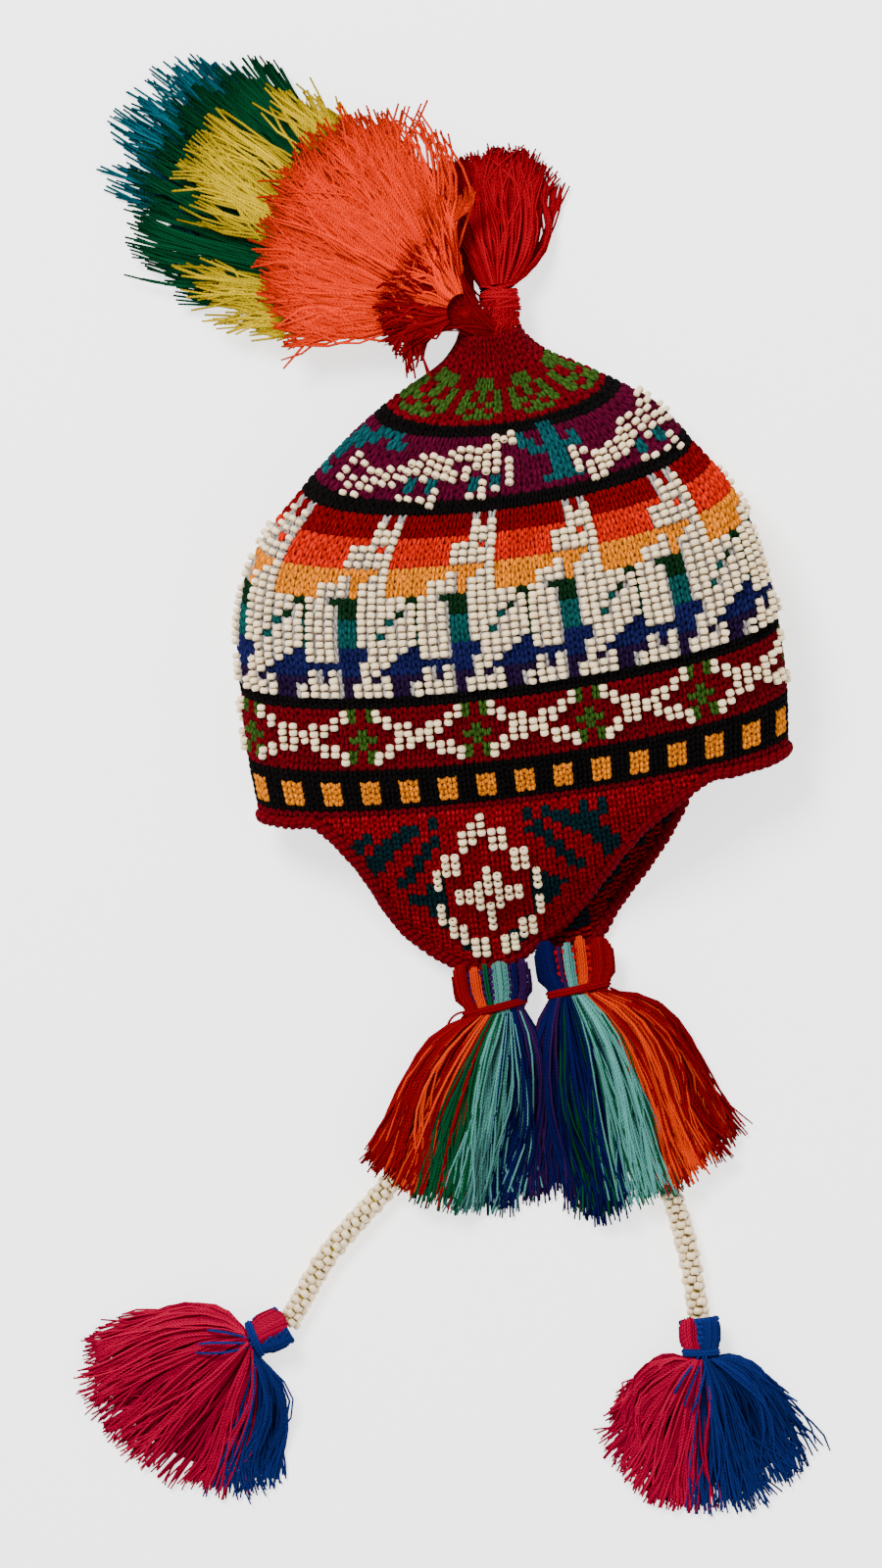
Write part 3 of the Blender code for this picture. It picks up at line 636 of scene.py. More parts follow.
def yarn_material(name, colour, ply=2.3, depth=0.55, fuzz=0.55):
    """Plied yarn: two strands wound round each other, darkened between the plies as painted shade to a depth,
    and fine fibres.
    """

    def shade(tree):
        spot = node(tree, "ShaderNodeUVMap")
        spot.uv_map = "yarn"
        scaled = node(tree, "ShaderNodeMapping", Scale=(2.0 * BAND_SCALE, BAND_SCALE / ply, 0.0))
        tree.links.new(spot.outputs["UV"], scaled.inputs["Vector"])
        plies = node(tree, "ShaderNodeTexWave", Scale=1.0, Distortion=0.6, Detail=1.0)
        plies.wave_type = "BANDS"
        plies.bands_direction = "DIAGONAL"
        tree.links.new(scaled.outputs["Vector"], plies.inputs["Vector"])
        fibres = noise(tree, Scale=2600.0, Detail=3.0, Roughness=0.65)
        height = node(tree, "ShaderNodeMath")
        height.operation = "MULTIPLY_ADD"
        height.inputs[1].default_value = FIBRE_HEIGHT
        tree.links.new(fibres, height.inputs[0])
        tree.links.new(plies.outputs["Fac"], height.inputs[2])
        bump = node(tree, "ShaderNodeBump", Strength=0.7, Distance=0.0003)
        tree.links.new(height.outputs["Value"], bump.inputs["Height"])
        tree.links.new(bump.outputs["Normal"], tree.nodes["Principled BSDF"].inputs["Normal"])
        # Painted shade: the wave of the plies darkens the colour between them; the fibre noise is a random
        # tone
        return product(tree, between(tree, plies.outputs["Fac"], 1.0 - depth, 1.1),
                       between(tree, fibres, 1.0 - fuzz, 1.0 + fuzz))

    material = new_material(name, colour, shade)
    shader = material.node_tree.nodes["Principled BSDF"]
    shader.inputs["Roughness"].default_value = 0.95
    shader.inputs["Specular IOR Level"].default_value = 0.02
    return material


def bead_material():
    """Opaque ivory glass with a soft glaze; each bead has a tone of its own."""

    def shade(tree):
        return between(tree, noise(tree, Scale=700.0, Detail=2.0), 0.93, 1.05)

    material = new_material("ivory_beads", BEAD_COLOUR, shade)
    shader = material.node_tree.nodes["Principled BSDF"]
    shader.inputs["Roughness"].default_value = 0.32
    shader.inputs["Coat Weight"].default_value = 0.25
    shader.inputs["Coat Roughness"].default_value = 0.12
    return material


MATERIALS = [yarn_material("yarn_" + name, COLOURS[name]) for name in YARNS]
SLOT = {name: index for index, name in enumerate(YARNS)}
BEADS = [bead_material()]

# Legs of a stitch and a purl bump: column, row, lift in millimetres, thickness
LEG_FINE = ((0.07, -0.14, -0.15, 0.75), (0.16, 0.20, 0.75, 1.0), (0.29, 0.70, 0.90, 1.0),
            (0.39, 1.12, 0.05, 0.8))
LEG_COARSE = ((0.08, -0.12, -0.05, 0.8), (0.23, 0.48, 1.0, 1.05), (0.39, 1.10, 0.05, 0.85))
PURL = ((-0.52, 0.30, 0.0, 0.8), (-0.20, 0.72, 0.85, 1.0), (0.20, 0.72, 0.85, 1.0), (0.52, 0.30, 0.0, 0.8))


def half_tube(path, points_round, width, thick):
    """A leg of a stitch as an open half tube: points as column, row and lift, with its faces and map."""
    path = np.array(path)
    size = np.array([STITCH_WIDTH, STITCH_HEIGHT])
    along = unit(np.gradient(path[:, :2] * size, axis=0))
    aside = np.stack([along[:, 1], -along[:, 0]], axis=1)
    turn = np.linspace(0.0, math.pi, points_round)
    spread = -np.cos(turn)[None, :, None] * aside[:, None, :] * (width * path[:, 3])[:, None, None] / size
    flat = path[:, None, :2] + spread
    lift = path[:, None, 2] * MM + np.sin(turn)[None, :] * thick * path[:, 3][:, None]
    points = np.concatenate([flat, lift[..., None]], axis=-1).reshape(-1, 3)
    faces, round_it, along_it = grid_faces(len(path), points_round)
    maps = np.stack([0.5 * round_it, along_it * STITCH_HEIGHT / MM / LEG_MAP_LENGTH], axis=-1)
    return points, faces, maps


def stitch_shape(path, points_round):
    """Both legs of a V stitch."""
    right, faces, maps = half_tube(path, points_round, LEG_WIDTH, LEG_THICKNESS)
    left = right * np.array([-1.0, 1.0, 1.0])
    points = np.concatenate([left, right])
    return points, np.concatenate([faces[:, ::-1], faces + len(right)]), np.concatenate([maps[:, ::-1], maps])


FINE = stitch_shape(LEG_FINE, 4)
COARSE = stitch_shape(LEG_COARSE, 3)
BUMP = half_tube(PURL, 4, PURL_WIDTH, PURL_THICKNESS)


def add_stitches(piece, knit, columns, rows, widths, slots, shape, side=1.0, sink=None):
    """Set stitches on a cloth: their middle columns, lowest rows, widths in columns and yarns."""
    points, faces, maps = shape
    shift = RANDOM.normal(0.0, 0.03, (len(columns), 2))
    column = columns[:, None] + (points[:, 0] + shift[:, :1]) * widths[:, None]
    row = rows[:, None] + points[:, 1] + shift[:, 1:]
    puff = RANDOM.normal(1.0, 0.07, (len(columns), 1))
    lift = points[:, 2] * puff
    if sink is not None:
        lift = lift - sink[:, None]
    laid = knit.lay(column, row, side * lift)
    tones = np.repeat(np.clip(RANDOM.normal(1.0, 0.09, len(columns)), 0.7, 1.3), len(points))
    all_maps = maps + RANDOM.random((len(columns), 1, 1, 1)) * MAP_SHIFT
    piece.add(laid, repeat(faces, len(columns), len(points)), np.repeat(slots, len(faces)), all_maps, tones)


def bead_shape(profile, segments):
    """A bead round its own Y axis, hole included."""
    turn = np.arange(segments) * 2.0 * math.pi / segments
    out, along_axis = np.array(profile).T[..., None]
    points = np.stack([out * np.cos(turn), along_axis + 0.0 * turn, out * np.sin(turn)], axis=-1)
    faces, round_it, along = grid_faces(len(profile), segments, closed=True)
    return points.reshape(-1, 3), faces, np.stack([round_it, along], axis=-1)


BEAD_FINE = bead_shape(((0.33, 0.22), (0.50, 0.47), (0.86, 0.38), (1.0, 0.0), (0.86, -0.38), (0.50, -0.47),
                        (0.33, -0.22)), 9)
BEAD_COARSE = bead_shape(((0.36, 0.40), (0.80, 0.42), (1.0, 0.0), (0.80, -0.42), (0.36, -0.40)), 7)
BEAD_ROPE = bead_shape(((0.38, 0.40), (0.80, 0.43), (1.0, 0.0), (0.80, -0.43), (0.38, -0.40)), 8)


def add_beads(piece, centre, across, along, out, radius, length, shape):
    """Set beads with their holes along a direction; each leans a little its own way."""
    points, faces, maps = shape
    count = len(centre)
    tilt = RANDOM.normal(0.0, 0.12, (count, 3))
    along = unit(along + across * tilt[:, :1] + out * tilt[:, 1:2])
    across = unit(np.cross(along, out))
    out = np.cross(across, along)
    size = RANDOM.normal(1.0, 0.035, (count, 1, 1))
    placed = centre[:, None] + across[:, None] * points[:, :1] * radius * size
    placed += along[:, None] * points[:, 1:2] * length * size
    placed += out[:, None] * points[:, 2:] * radius * size
    tones = np.repeat(np.clip(RANDOM.normal(1.0, 0.06, count), 0.8, 1.12), len(points))
    all_maps = np.broadcast_to(maps, (count, *maps.shape))
    piece.add(placed, repeat(faces, count, len(points)), 0, all_maps, tones)


def add_strands(piece, lines, radius, slots, sides=4, tones=None, cap=True):
    """Tubes along lines (strands, points, 3), each with its own radius and material."""
    count, steps = lines.shape[:2]
    ahead = unit(np.gradient(lines, axis=1))
    side = unit(np.cross(ahead, np.array([0.02, 0.03, 1.0])))
    above = np.cross(side, ahead)
    turn = np.arange(sides) * 2.0 * math.pi / sides
    radius = np.broadcast_to(np.asarray(radius, float).reshape(-1, 1, 1, 1), (count, 1, 1, 1))
    taper = np.ones(steps)
    taper[-1] = TIP_TAPER
    ring = side[:, :, None] * np.cos(turn)[:, None] + above[:, :, None] * np.sin(turn)[:, None]
    points = lines[:, :, None] + ring * radius * taper[None, :, None, None]
    faces, round_it, along = grid_faces(steps, sides, closed=True)
    faces = faces[:, ::-1]
    lengths = np.linalg.norm(np.diff(lines, axis=1), axis=2).sum(axis=1) / MM / (steps - 1)
    along = along * lengths[:, None, None]
    maps = np.stack([np.broadcast_to(round_it, along.shape), along], axis=-1)
    maps = maps[:, :, ::-1] + RANDOM.random((count, 1, 1, 1)) * MAP_SHIFT
    if tones is None:
        tones = np.clip(RANDOM.normal(1.0, 0.12, count), 0.65, 1.35)
    slots = np.broadcast_to(slots, (count,))
    size = steps * sides
    piece.add(points, repeat(faces, count, size), np.repeat(slots, len(faces)), maps, np.repeat(tones, size))
    if cap and sides == 4:
        end = np.arange(sides) + (steps - 1) * sides
        piece.add_faces(end[None, :] + (np.arange(count) * size)[:, None] - count * size, slots)


def crown_chart():
    """Yarn of each stitch, row by row."""
    bands = [name for name, rows in BANDS for _ in range(rows)]
    yarn = [np.full(count, SLOT[bands[row]]) for first, last, count in ZONES for row in range(first, last)]
    for row in range(*SQUARE_ROWS):
        for column in range(COLUMNS):
            if column % SQUARE_PITCH in SQUARE_COLUMNS:
                yarn[row][column] = SLOT["gold"]
    for chart, top, starts, name in STAMPS:
        for start in starts:
            for depth, line in enumerate(chart):
                for step, mark in enumerate(line):
                    if mark != ".":
                        row = yarn[top - depth]
                        row[(start + step) % len(row)] = SLOT[name]
    for start in RUNNERS:
        for column in LEG_MARKS:
            for row in LEG_ROWS:
                count = len(yarn[row])
                yarn[row][int((start + column * LEG_PITCH) * count / COLUMNS) % count] = SLOT["tree"]
    for column, row in llama_beads():
        for above in (0, 1) if row > LLAMA_TOP else (0,):
            yarn[int(row) + above][int(column) % COLUMNS] = SLOT["white"]
    return yarn


def chart_beads(chart, top, middles, reach):
    """Columns and rows of a chart's beads, set round each middle column; beads stand wider than stitches."""
    beads = []
    for middle in middles:
        for depth, line in enumerate(chart):
            for step, mark in enumerate(line):
                if mark == "#":
                    beads.append((middle + (step - reach) * BEAD_SPACING, top - depth + 0.5))
    return beads


def llama_beads():
    """Columns and rows of the llamas' beads; the third bead column stands at the front of the neck."""
    return chart_beads(LLAMA, LLAMA_TOP, np.arange(LLAMA_START, LLAMA_START + COLUMNS, REPEAT), LLAMA_NECK)


def crown_beads():
    """Columns and rows of all beads on the crown."""
    middles = np.arange(CROSS_START, CROSS_START + COLUMNS, REPEAT)
    beads = llama_beads() + chart_beads(CROSS, CROSS_TOP, middles, CROSS_MIDDLE)
    for start in RUNNERS:
        for column, row, count in RUNNER:
            place = start + column * (RUNNER_FRONT_PITCH if column > 0.0 else RUNNER_BACK_PITCH)
            beads += [(place, RUNNER_ROW + row + step * RUNNER_STEP) for step in range(count)]
    return np.array(beads)


def crown_cells(yarn):
    """Middle column, lowest row, width and yarn of each stitch on the crown."""
    cells = []
    for row, slots in enumerate(yarn):
        width = COLUMNS / len(slots)
        cells += [((index + 0.5) * width, row, width, slot) for index, slot in enumerate(slots)]
    return np.array(cells, float)


def add_cloth(piece, knit, column, row, slots, edge_slot, map_size, inner_painted_shade, closed=False):
    """The cloth behind the stitches, its outer face darkened as painted shade between them: two faces on a
    grid of places, and the edges that join them.
    """
    rings, sides = column.shape
    size = rings * sides
    outer = knit.lay(column, row, np.full(column.shape, CLOTH_FACE))
    inner = knit.lay(column, row, np.full(column.shape, -CLOTH_WALL))
    faces, round_it, along = grid_faces(rings, sides, closed)
    maps = np.stack([round_it * map_size[0], along * map_size[1]], axis=-1)
    # Outer face darkened by painted shade, where the gaps between stitches fall in shade
    piece.add(outer, faces, slots, maps, np.full(size, CLOTH_PAINTED_SHADE))
    # Inner face darkened by painted shade
    piece.add(inner, faces[:, ::-1], slots, maps, np.full(size, inner_painted_shade))
    index = np.arange(size).reshape(rings, sides)
    if closed:
        loops = [np.append(index[ring], index[ring, 0]) for ring in (0, -1)]
    else:
        loops = [np.concatenate([index[0], index[1:, -1], index[-1, -2::-1], index[-2::-1, 0]])]
    for loop in loops:
        start, end = loop[:-1], loop[1:]
        piece.add_faces(np.stack([start, end, end + size, start + size], axis=-1) - 2 * size, edge_slot)


def make_crown():
    """Cloth, stitches and beads of the crown."""
    knit = CrownKnit()
    yarn = crown_chart()
    slots = np.array([line[np.arange(COLUMNS) * len(line) // COLUMNS] for line in yarn])
    piece = Piece("crown_cloth", "knit_crown", ("crown",), MATERIALS)
    column, row = np.meshgrid(np.arange(COLUMNS + 0.0), np.arange(len(yarn) + 1.0))
    add_cloth(piece, knit, column, row, slots.ravel(), SLOT["black"], (40.0, 1.3), CROWN_INNER_PAINTED_SHADE,
              closed=True)
    piece.build()
    column, row, width, slot = crown_cells(yarn).T
    near = column < NEAR_COLUMNS + 1
    sink = np.where(row >= FIRST_RIB_ROW, RIB_SINK, 0.0)
    parts = (("lower", near & (row < UPPER_ROW), FINE), ("upper", near & (row >= UPPER_ROW), FINE),
             ("back", ~near, COARSE))
    for name, chosen, shape in parts:
        piece = Piece("crown_stitches_" + name, "knit_crown", (), MATERIALS)
        add_stitches(piece, knit, column[chosen], row[chosen], width[chosen], slot[chosen], shape,
                     sink=sink[chosen])
        piece.build()
    beads = crown_beads()
    beads[:, 0] %= COLUMNS
    near = beads[:, 0] < NEAR_COLUMNS + 1
    for name, chosen, shape in (("front", near, BEAD_FINE), ("back", ~near, BEAD_COARSE)):
        piece = Piece("crown_beads_" + name, "seed_beads", (), BEADS)
        shift = RANDOM.normal(0.0, 0.05, (int(chosen.sum()), 2))
        column, row = (beads[chosen] + shift).T
        place, across, along, out = knit.axes(column, row)
        add_beads(piece, place + out * BEAD_LIFT, across, along, out, BEAD_RADIUS, BEAD_LENGTH, shape)
        piece.build()


def flap_cells(knit):
    """Middle column, row and yarn of each stitch inside a flap's border."""
    cells = []
    for row, line in enumerate(FLAP_CHART):
        for column in range(-FLAP_REACH, FLAP_REACH + 1):
            share = float(knit.across(np.array(column + 0.0), np.array(row + 0.5)))
            if -0.01 < share < 1.01:
                index = column + FLAP_CHART_MIDDLE
                teal = 0 <= index < len(line) and line[index] == "T"
                cells.append((column, row, SLOT["flap_teal"] if teal else SLOT["flap_red"]))
    return np.array(cells, float)


def make_flap(side, knit):
    """Cloth, stitches and beads of an ear flap."""
    near = side == "near"
    name = "ear_flap_" + side
    rings, sides = FLAP_CLOTH_GRID
    shares = np.linspace(-FLAP_OVERHANG, 1.0 + FLAP_OVERHANG, sides)
    downs = np.linspace(-FLAP_ROW_OVERHANG, knit.count + FLAP_ROW_OVERHANG, rings)
    place_row = np.repeat(downs[:, None], sides, axis=1)
    place_column = np.array([knit.column_at(shares, np.full(sides, down / knit.count)) for down in downs])
    piece = Piece(name + "_cloth", "knit_flap", (name,), MATERIALS)
    red = SLOT["flap_red"]
    # Both faces of a flap's cloth are darkened by the same painted shade
    add_cloth(piece, knit, place_column, place_row, red, red, (20.0, 4.0), CLOTH_PAINTED_SHADE)
    piece.build()
    column, row, slot = flap_cells(knit).T
    width = np.ones(len(column))
    piece = Piece(name + "_stitches", "knit_flap", (), MATERIALS)
    add_stitches(piece, knit, column, row, width, slot, FINE if near else COARSE)
    if not near:
        purl = np.where(RANDOM.random(len(slot)) < FLAP_PURL_TEAL_SHARE, SLOT["flap_teal"], slot)
        back = (BUMP[0] + np.array([0.0, 0.0, CLOTH_WALL]), *BUMP[1:])
        add_stitches(piece, knit, column, row, width, purl, back, side=-1.0)
    piece.build()
    ring = np.array([((step - 0.5 * (len(line) - 1)) * RING_COLUMN, RING_TOP + depth * RING_ROW)
                     for depth, line in enumerate(RING) for step, mark in enumerate(line) if mark == "#"])
    piece = Piece(name + "_beads", "seed_beads", (), BEADS)
    spot, across, along, out = knit.axes(ring[:, 0], ring[:, 1])
    if near:
        add_beads(piece, spot + out * BEAD_LIFT, across, along, out, BEAD_RADIUS, BEAD_LENGTH, BEAD_FINE)
    else:
        radius = PRESSED * BEAD_RADIUS
        spot[:, 2] = np.maximum(spot[:, 2], radius + FLOOR_GAP)
        add_beads(piece, spot, across, along, out, radius, PRESSED * BEAD_LENGTH, BEAD_COARSE)
    piece.build()


make_crown()
NEAR_FLAP = FlapKnit(NEAR_FLAP_ROWS, NEAR_FLAP_LENGTH, NEAR_TIP_LIFT, 1.0, -0.0207)
FAR_FLAP = FlapKnit(FAR_FLAP_ROWS, FAR_FLAP_LENGTH, 0.0, -1.0, 0.008)
make_flap("near", NEAR_FLAP)
make_flap("far", FAR_FLAP)


# Loose yarn, as the solids have it
FLAP_TASSEL_LENGTH = 0.104
FLAP_HEAD = (0.0125, 0.034, 0.018)
FLAP_WAIST = (0.026, 0.013)
FLAP_SKIRT_DEPTH = 0.015
END_TASSEL_LENGTH = 0.082
END_HEAD = (0.0115, 0.018, 0.017)
END_WAIST = (0.014, 0.012)
END_SKIRT_DEPTH = 0.017
TUFT_LENGTH = 0.068
TUFT_HEAD = (0.013, 0.0165, 0.018)
TUFT_WAIST = (0.9 * 0.0165, 0.8 * 0.018)
TUFT_DEPTH = 0.017
WAIST_LENGTH = 0.0050
TIE_DIAMETER = 0.0036
ROPE_DIAMETER = 0.0094
KNOT_WIDTH = 0.015
KNOT_DEPTH = 0.030
PLUME_LAYER_DEPTH = 0.0068
ROPE_BEADS_ROUND = 5
ROPE_PITCH = 0.0036
ROPE_BEAD_RADIUS = 0.00212
ROPE_BEAD_LENGTH = 0.0038
ROPE_SWELL = 0.0008
ROPE_TWIST = 0.06
ROPE_CORD_RADIUS = 0.0023
CROCHET_PITCH = 0.0074
CROCHET_RADIUS = 0.0020
CROCHET_STRAND = 0.00165
CROCHET_CORE = 0.0027
CLEAR = 0.0002
HEAD_STRAND = 0.00052
HEAD_RISE = 0.0045
INNER_WINDING = 0.0016
TIE_STRAND = 0.00062
TIE_END_STRAND = 0.00060
ROPE_LEFT_ROUTE = ((-0.007, -0.018), (-0.025, -0.046), (-0.048, -0.077), (-0.075, -0.108), (-0.093, -0.139))
ROPE_RIGHT_ROUTE = ((0.007, -0.018), (0.022, -0.048), (0.039, -0.083), (0.049, -0.115), (0.054, -0.146))
ROPE_UNDER_LEFT = (0.50, 0.27)
ROPE_UNDER_RIGHT = (0.50, 0.58)
KNOT_PLACE = (-0.02021, 0.14052)
TUFT_PLACE = (-0.00308, 0.13546)
TUFT_HEIGHT = 0.0145
TUFT_HEADING = math.radians(97.3)
TASSEL_HEADING = LEAN - 0.5 * math.pi
# How far each tassel's head reaches past its solid, towards what it is sewn to
NEAR_HEAD_REACH = 0.0085
FAR_HEAD_REACH = 0.0115
END_HEAD_REACH = 0.0045
# Guides of the loose ends of the ties, along, across and up from each tassel's head
NEAR_ENDS = (
    ((0.0150, -0.0120, 0.014), (0.0145, -0.0170, 0.012), (0.0155, -0.0200, 0.007), (0.0215, -0.0230, 0.001)),
    ((0.0155, -0.0120, 0.013), (0.0170, -0.0170, 0.012), (0.0200, -0.0150, 0.008), (0.0190, -0.0180, 0.004)),
)
FAR_ENDS = ((0.0165, 0.0125, 0.0150), (0.0225, 0.0280, 0.0140), (0.0420, 0.0365, 0.0100),
            (0.0600, 0.0480, 0.0050))
END_ENDS = (
    ((0.0150, -0.001, 0.017), (0.020, -0.006, 0.024), (0.026, -0.011, 0.0235), (0.031, -0.013, 0.019)),
    ((0.0150, 0.001, 0.017), (0.021, -0.002, 0.0245), (0.029, -0.007, 0.024), (0.037, -0.009, 0.019)),
    ((0.0150, 0.002, 0.017), (0.022, 0.001, 0.024), (0.031, -0.001, 0.023), (0.040, -0.006, 0.018)),
)
# Yarns, locks and head loops of the tassels
FLAP_YARNS = (820, 60, 44)
END_YARNS = (620, 44, 24)
TUFT_YARNS = (620, 50)
TUFT_WINDINGS = 34
# The knot's wraps and the yarns from the neck over it, between neck and tuft, and between knot and tuft
KNOT_WRAPS = 46
KNOT_STRAND = 0.0006
NECK_PLACE = (-0.0090, 0.1325, 0.0150)
NECK_YARNS = 260
NECK_STRAND = 0.0004
JOINING_YARNS = 150
JOINING_STRAND = 0.00045
KNOT_YARNS = 160
# Guide of the dark red yarns between the knot and the tuft
KNOT_TO_TUFT = ((-0.0175, 0.1420, 0.013), (-0.0185, 0.1500, 0.013), (-0.0200, 0.1590, 0.012),
                (-0.0215, 0.1680, 0.010))

# Fans of yarn: share across, direction in degrees, reach as a share of the length, sideways bow
NEAR_TASSEL_FAN = (
    (0.00, -50.0, 0.87, -0.10),
    (0.22, -41.0, 0.89, -0.06),
    (0.45, -27.0, 0.90, -0.03),
    (0.65, -15.0, 0.88, 0.00),
    (0.84, -3.0, 0.89, 0.05),
    (1.00, 7.0, 0.85, 0.085),
)
FAR_TASSEL_FAN = (
    (0.00, -15.0, 0.84, -0.100),
    (0.18, -5.0, 1.00, -0.035),
    (0.38, 6.0, 0.99, 0.03),
    (0.60, 19.0, 0.96, 0.07),
    (0.80, 29.0, 0.96, 0.11),
    (1.00, 41.0, 0.95, 0.15),
)
END_LEFT_FAN = (
    (0.00, -34.0, 0.76, -0.17),
    (0.14, -20.0, 0.92, -0.12),
    (0.28, -5.0, 1.00, -0.07),
    (0.45, 16.0, 0.97, -0.01),
    (0.62, 40.0, 0.92, 0.04),
    (0.82, 62.0, 0.87, 0.09),
    (1.00, 76.0, 0.82, 0.13),
)
END_RIGHT_FAN = (
    (0.00, -66.0, 0.50, -0.16),
    (0.16, -46.0, 0.74, -0.10),
    (0.34, -25.0, 0.85, -0.03),
    (0.50, -3.0, 0.87, 0.00),
    (0.68, 18.0, 0.90, 0.03),
    (0.85, 42.0, 0.82, 0.10),
    (1.00, 60.0, 0.53, 0.16),
)
TUFT_FAN = (
    (0.00, -31.0, 0.84, -0.12),
    (0.25, -17.0, 1.00, -0.05),
    (0.50, -3.0, 0.97, 0.00),
    (0.75, 10.0, 0.94, 0.02),
    (1.00, 20.0, 0.86, 0.04),
)
BASE_RED_FAN = (
    (0.00, 97.0, 1.00, 0.02),
    (0.30, 128.0, 0.62, 0.02),
    (0.60, 172.0, 0.66, 0.00),
    (0.85, 200.0, 0.68, -0.03),
    (1.00, 222.0, 0.55, -0.06),
)
ORANGE_FAN = (
    (0.00, 106.0, 0.58, -0.04),
    (0.15, 114.0, 0.90, -0.03),
    (0.40, 133.0, 1.00, 0.00),
    (0.65, 156.0, 0.93, 0.02),
    (0.85, 174.0, 0.85, 0.02),
    (1.00, 189.0, 0.76, 0.02),
)
YELLOW_FAN = (
    (0.00, 122.0, 0.79, -0.03),
    (0.20, 132.0, 0.97, -0.02),
    (0.45, 148.0, 1.00, 0.00),
    (0.65, 160.0, 0.95, 0.01),
    (0.82, 173.0, 0.88, 0.02),
    (1.00, 185.0, 0.68, 0.03),
)
GREEN_FAN = (
    (0.00, 129.0, 0.90, -0.03),
    (0.25, 138.0, 0.97, -0.01),
    (0.50, 152.0, 1.00, 0.00),
    (0.75, 166.0, 0.97, 0.02),
    (1.00, 178.0, 0.78, 0.03),
)
BLUE_FAN = (
    (0.00, 133.0, 0.83, -0.02),
    (0.25, 138.0, 0.96, -0.01),
    (0.50, 148.0, 1.00, 0.00),
    (0.75, 156.0, 0.97, 0.01),
    (1.00, 163.0, 0.80, 0.02),
)
# Layers of the plume: yarn, slot, node, fan, length, share at which its yarns start, yarns, lengthening,
# untidiness, shares out that its dense inside reaches, and the stretches across the fan that carry yarn
WHOLE = ((0.0, 1.0),)
YELLOW_TUFTS = ((0.0, 0.19), (0.31, 0.46), (0.46, 0.59), (0.77, 0.88), (0.88, 1.0))
PLUME = (
    ("blue", "plume_blue", "plume_blue", BLUE_FAN, 0.181, 0.25, 430, 0.985, 1.3, (0.0, 0.28, 0.6, 0.82),
     WHOLE),
    ("green", "plume_green", "plume_green", GREEN_FAN, 0.152, 0.30, 400, 1.06, 1.3, (0.0, 0.28, 0.6, 0.82),
     WHOLE),
    ("yellow", "plume_yellow", "plume_yellow", YELLOW_FAN, 0.138, 0.30, 300, 1.03, 2.4, (0.0, 0.28, 0.55),
     YELLOW_TUFTS),
    ("orange", "plume_orange", "plume_orange", ORANGE_FAN, 0.108, 0.0, 760, 0.98, 3.6, (0.0, 0.28, 0.6, 0.82),
     WHOLE),
    ("dark_red", "plume_dark_red", "plume_base_red", BASE_RED_FAN, 0.057, 0.0, 240, 0.97, 2.4, (0.0, 0.15),
     WHOLE),
)
ORANGE_IN_BASE = 0.62

# Colours of loose yarn across each tassel: up to a share, the yarns found there
NEAR_BANDS = ((0.24, "RRRRRRRO"), (0.40, "RRRO"), (0.54, "GGGGGGR"), (0.74, "TTTTTTTG"), (0.88, "NNNNT"),
              (1.00, "PPN"))
FAR_BANDS = ((0.16, "NNPN"), (0.38, "NNNNNG"), (0.56, "TTTTTTG"), (0.64, "GORG"), (0.80, "ORO"),
             (1.00, "RRRRRO"))
NEAR_HEAD_BANDS = ((0.21, "R"), (0.38, "O"), (0.48, "G"), (0.75, "T"), (0.84, "N"), (1.00, "P"))
FAR_HEAD_BANDS = ((0.28, "N"), (0.34, "P"), (0.51, "T"), (0.67, "O"), (1.00, "R"))
END_LEFT_BANDS = ((0.70, "K"), (0.76, "KB"), (1.00, "B"))
END_RIGHT_BANDS = ((0.47, "K"), (0.53, "KB"), (1.00, "B"))
STRANDS = ("red", "orange_thread", "green_thread", "light_teal", "navy_thread", "purple_thread", "pink",
           "end_navy", "blue", "green", "yellow", "orange", "dark_red", "tuft_red", "edging", "tie_red",
           "white")
BAND_NAMES = {"R": "red", "O": "orange_thread", "G": "green_thread", "T": "light_teal", "N": "navy_thread",
              "P": "purple_thread", "K": "pink", "B": "end_navy"}
STRAND_COLOURS = {
    "red": (0.20, 0.001, 0.003), "orange_thread": (0.62, 0.036, 0.001), "green_thread": (0.002, 0.060, 0.020),
    "light_teal": (0.080, 0.27, 0.24), "navy_thread": (0.003, 0.004, 0.055),
    "purple_thread": (0.022, 0.004, 0.045), "pink": (0.36, 0.001, 0.030), "end_navy": (0.006, 0.018, 0.13),
    "blue": (0.003, 0.105, 0.14), "green": (0.001, 0.052, 0.017), "yellow": (0.62, 0.43, 0.0001),
    "orange": (0.76, 0.025, 0.0001), "dark_red": (0.20, 0.002, 0.005), "tuft_red": (0.29, 0.0005, 0.007),
    "edging": (0.115, 0.001, 0.005), "tie_red": (0.17, 0.001, 0.004), "white": (0.55, 0.50, 0.47),
}
STRAND_MATERIALS = [yarn_material("strand_" + name, STRAND_COLOURS[name], ply=1.7, depth=0.4, fuzz=0.35)
                    for name in STRANDS]
STRAND = {name: index for index, name in enumerate(STRANDS)}
STRAND_RADIUS = 0.00050
PLUME_STRAND_RADIUS = 0.00060

# Tassels at the flaps' tips: side, slant of the tie, reach of the head, place, height, fan, where its rope
# runs beneath it, yarns of skirt and head, route and side of its rope
FLAP_TASSELS = (
    ("near", -0.0016, NEAR_HEAD_REACH, (-0.00829, -0.1563), 0.01015, NEAR_TASSEL_FAN, ROPE_UNDER_LEFT,
     NEAR_BANDS, NEAR_HEAD_BANDS, ROPE_LEFT_ROUTE, "left"),
    ("far", -0.0010, FAR_HEAD_REACH, (0.02908, -0.1478), 0.0094, FAR_TASSEL_FAN, ROPE_UNDER_RIGHT,
     FAR_BANDS, FAR_HEAD_BANDS, ROPE_RIGHT_ROUTE, "right"),
)
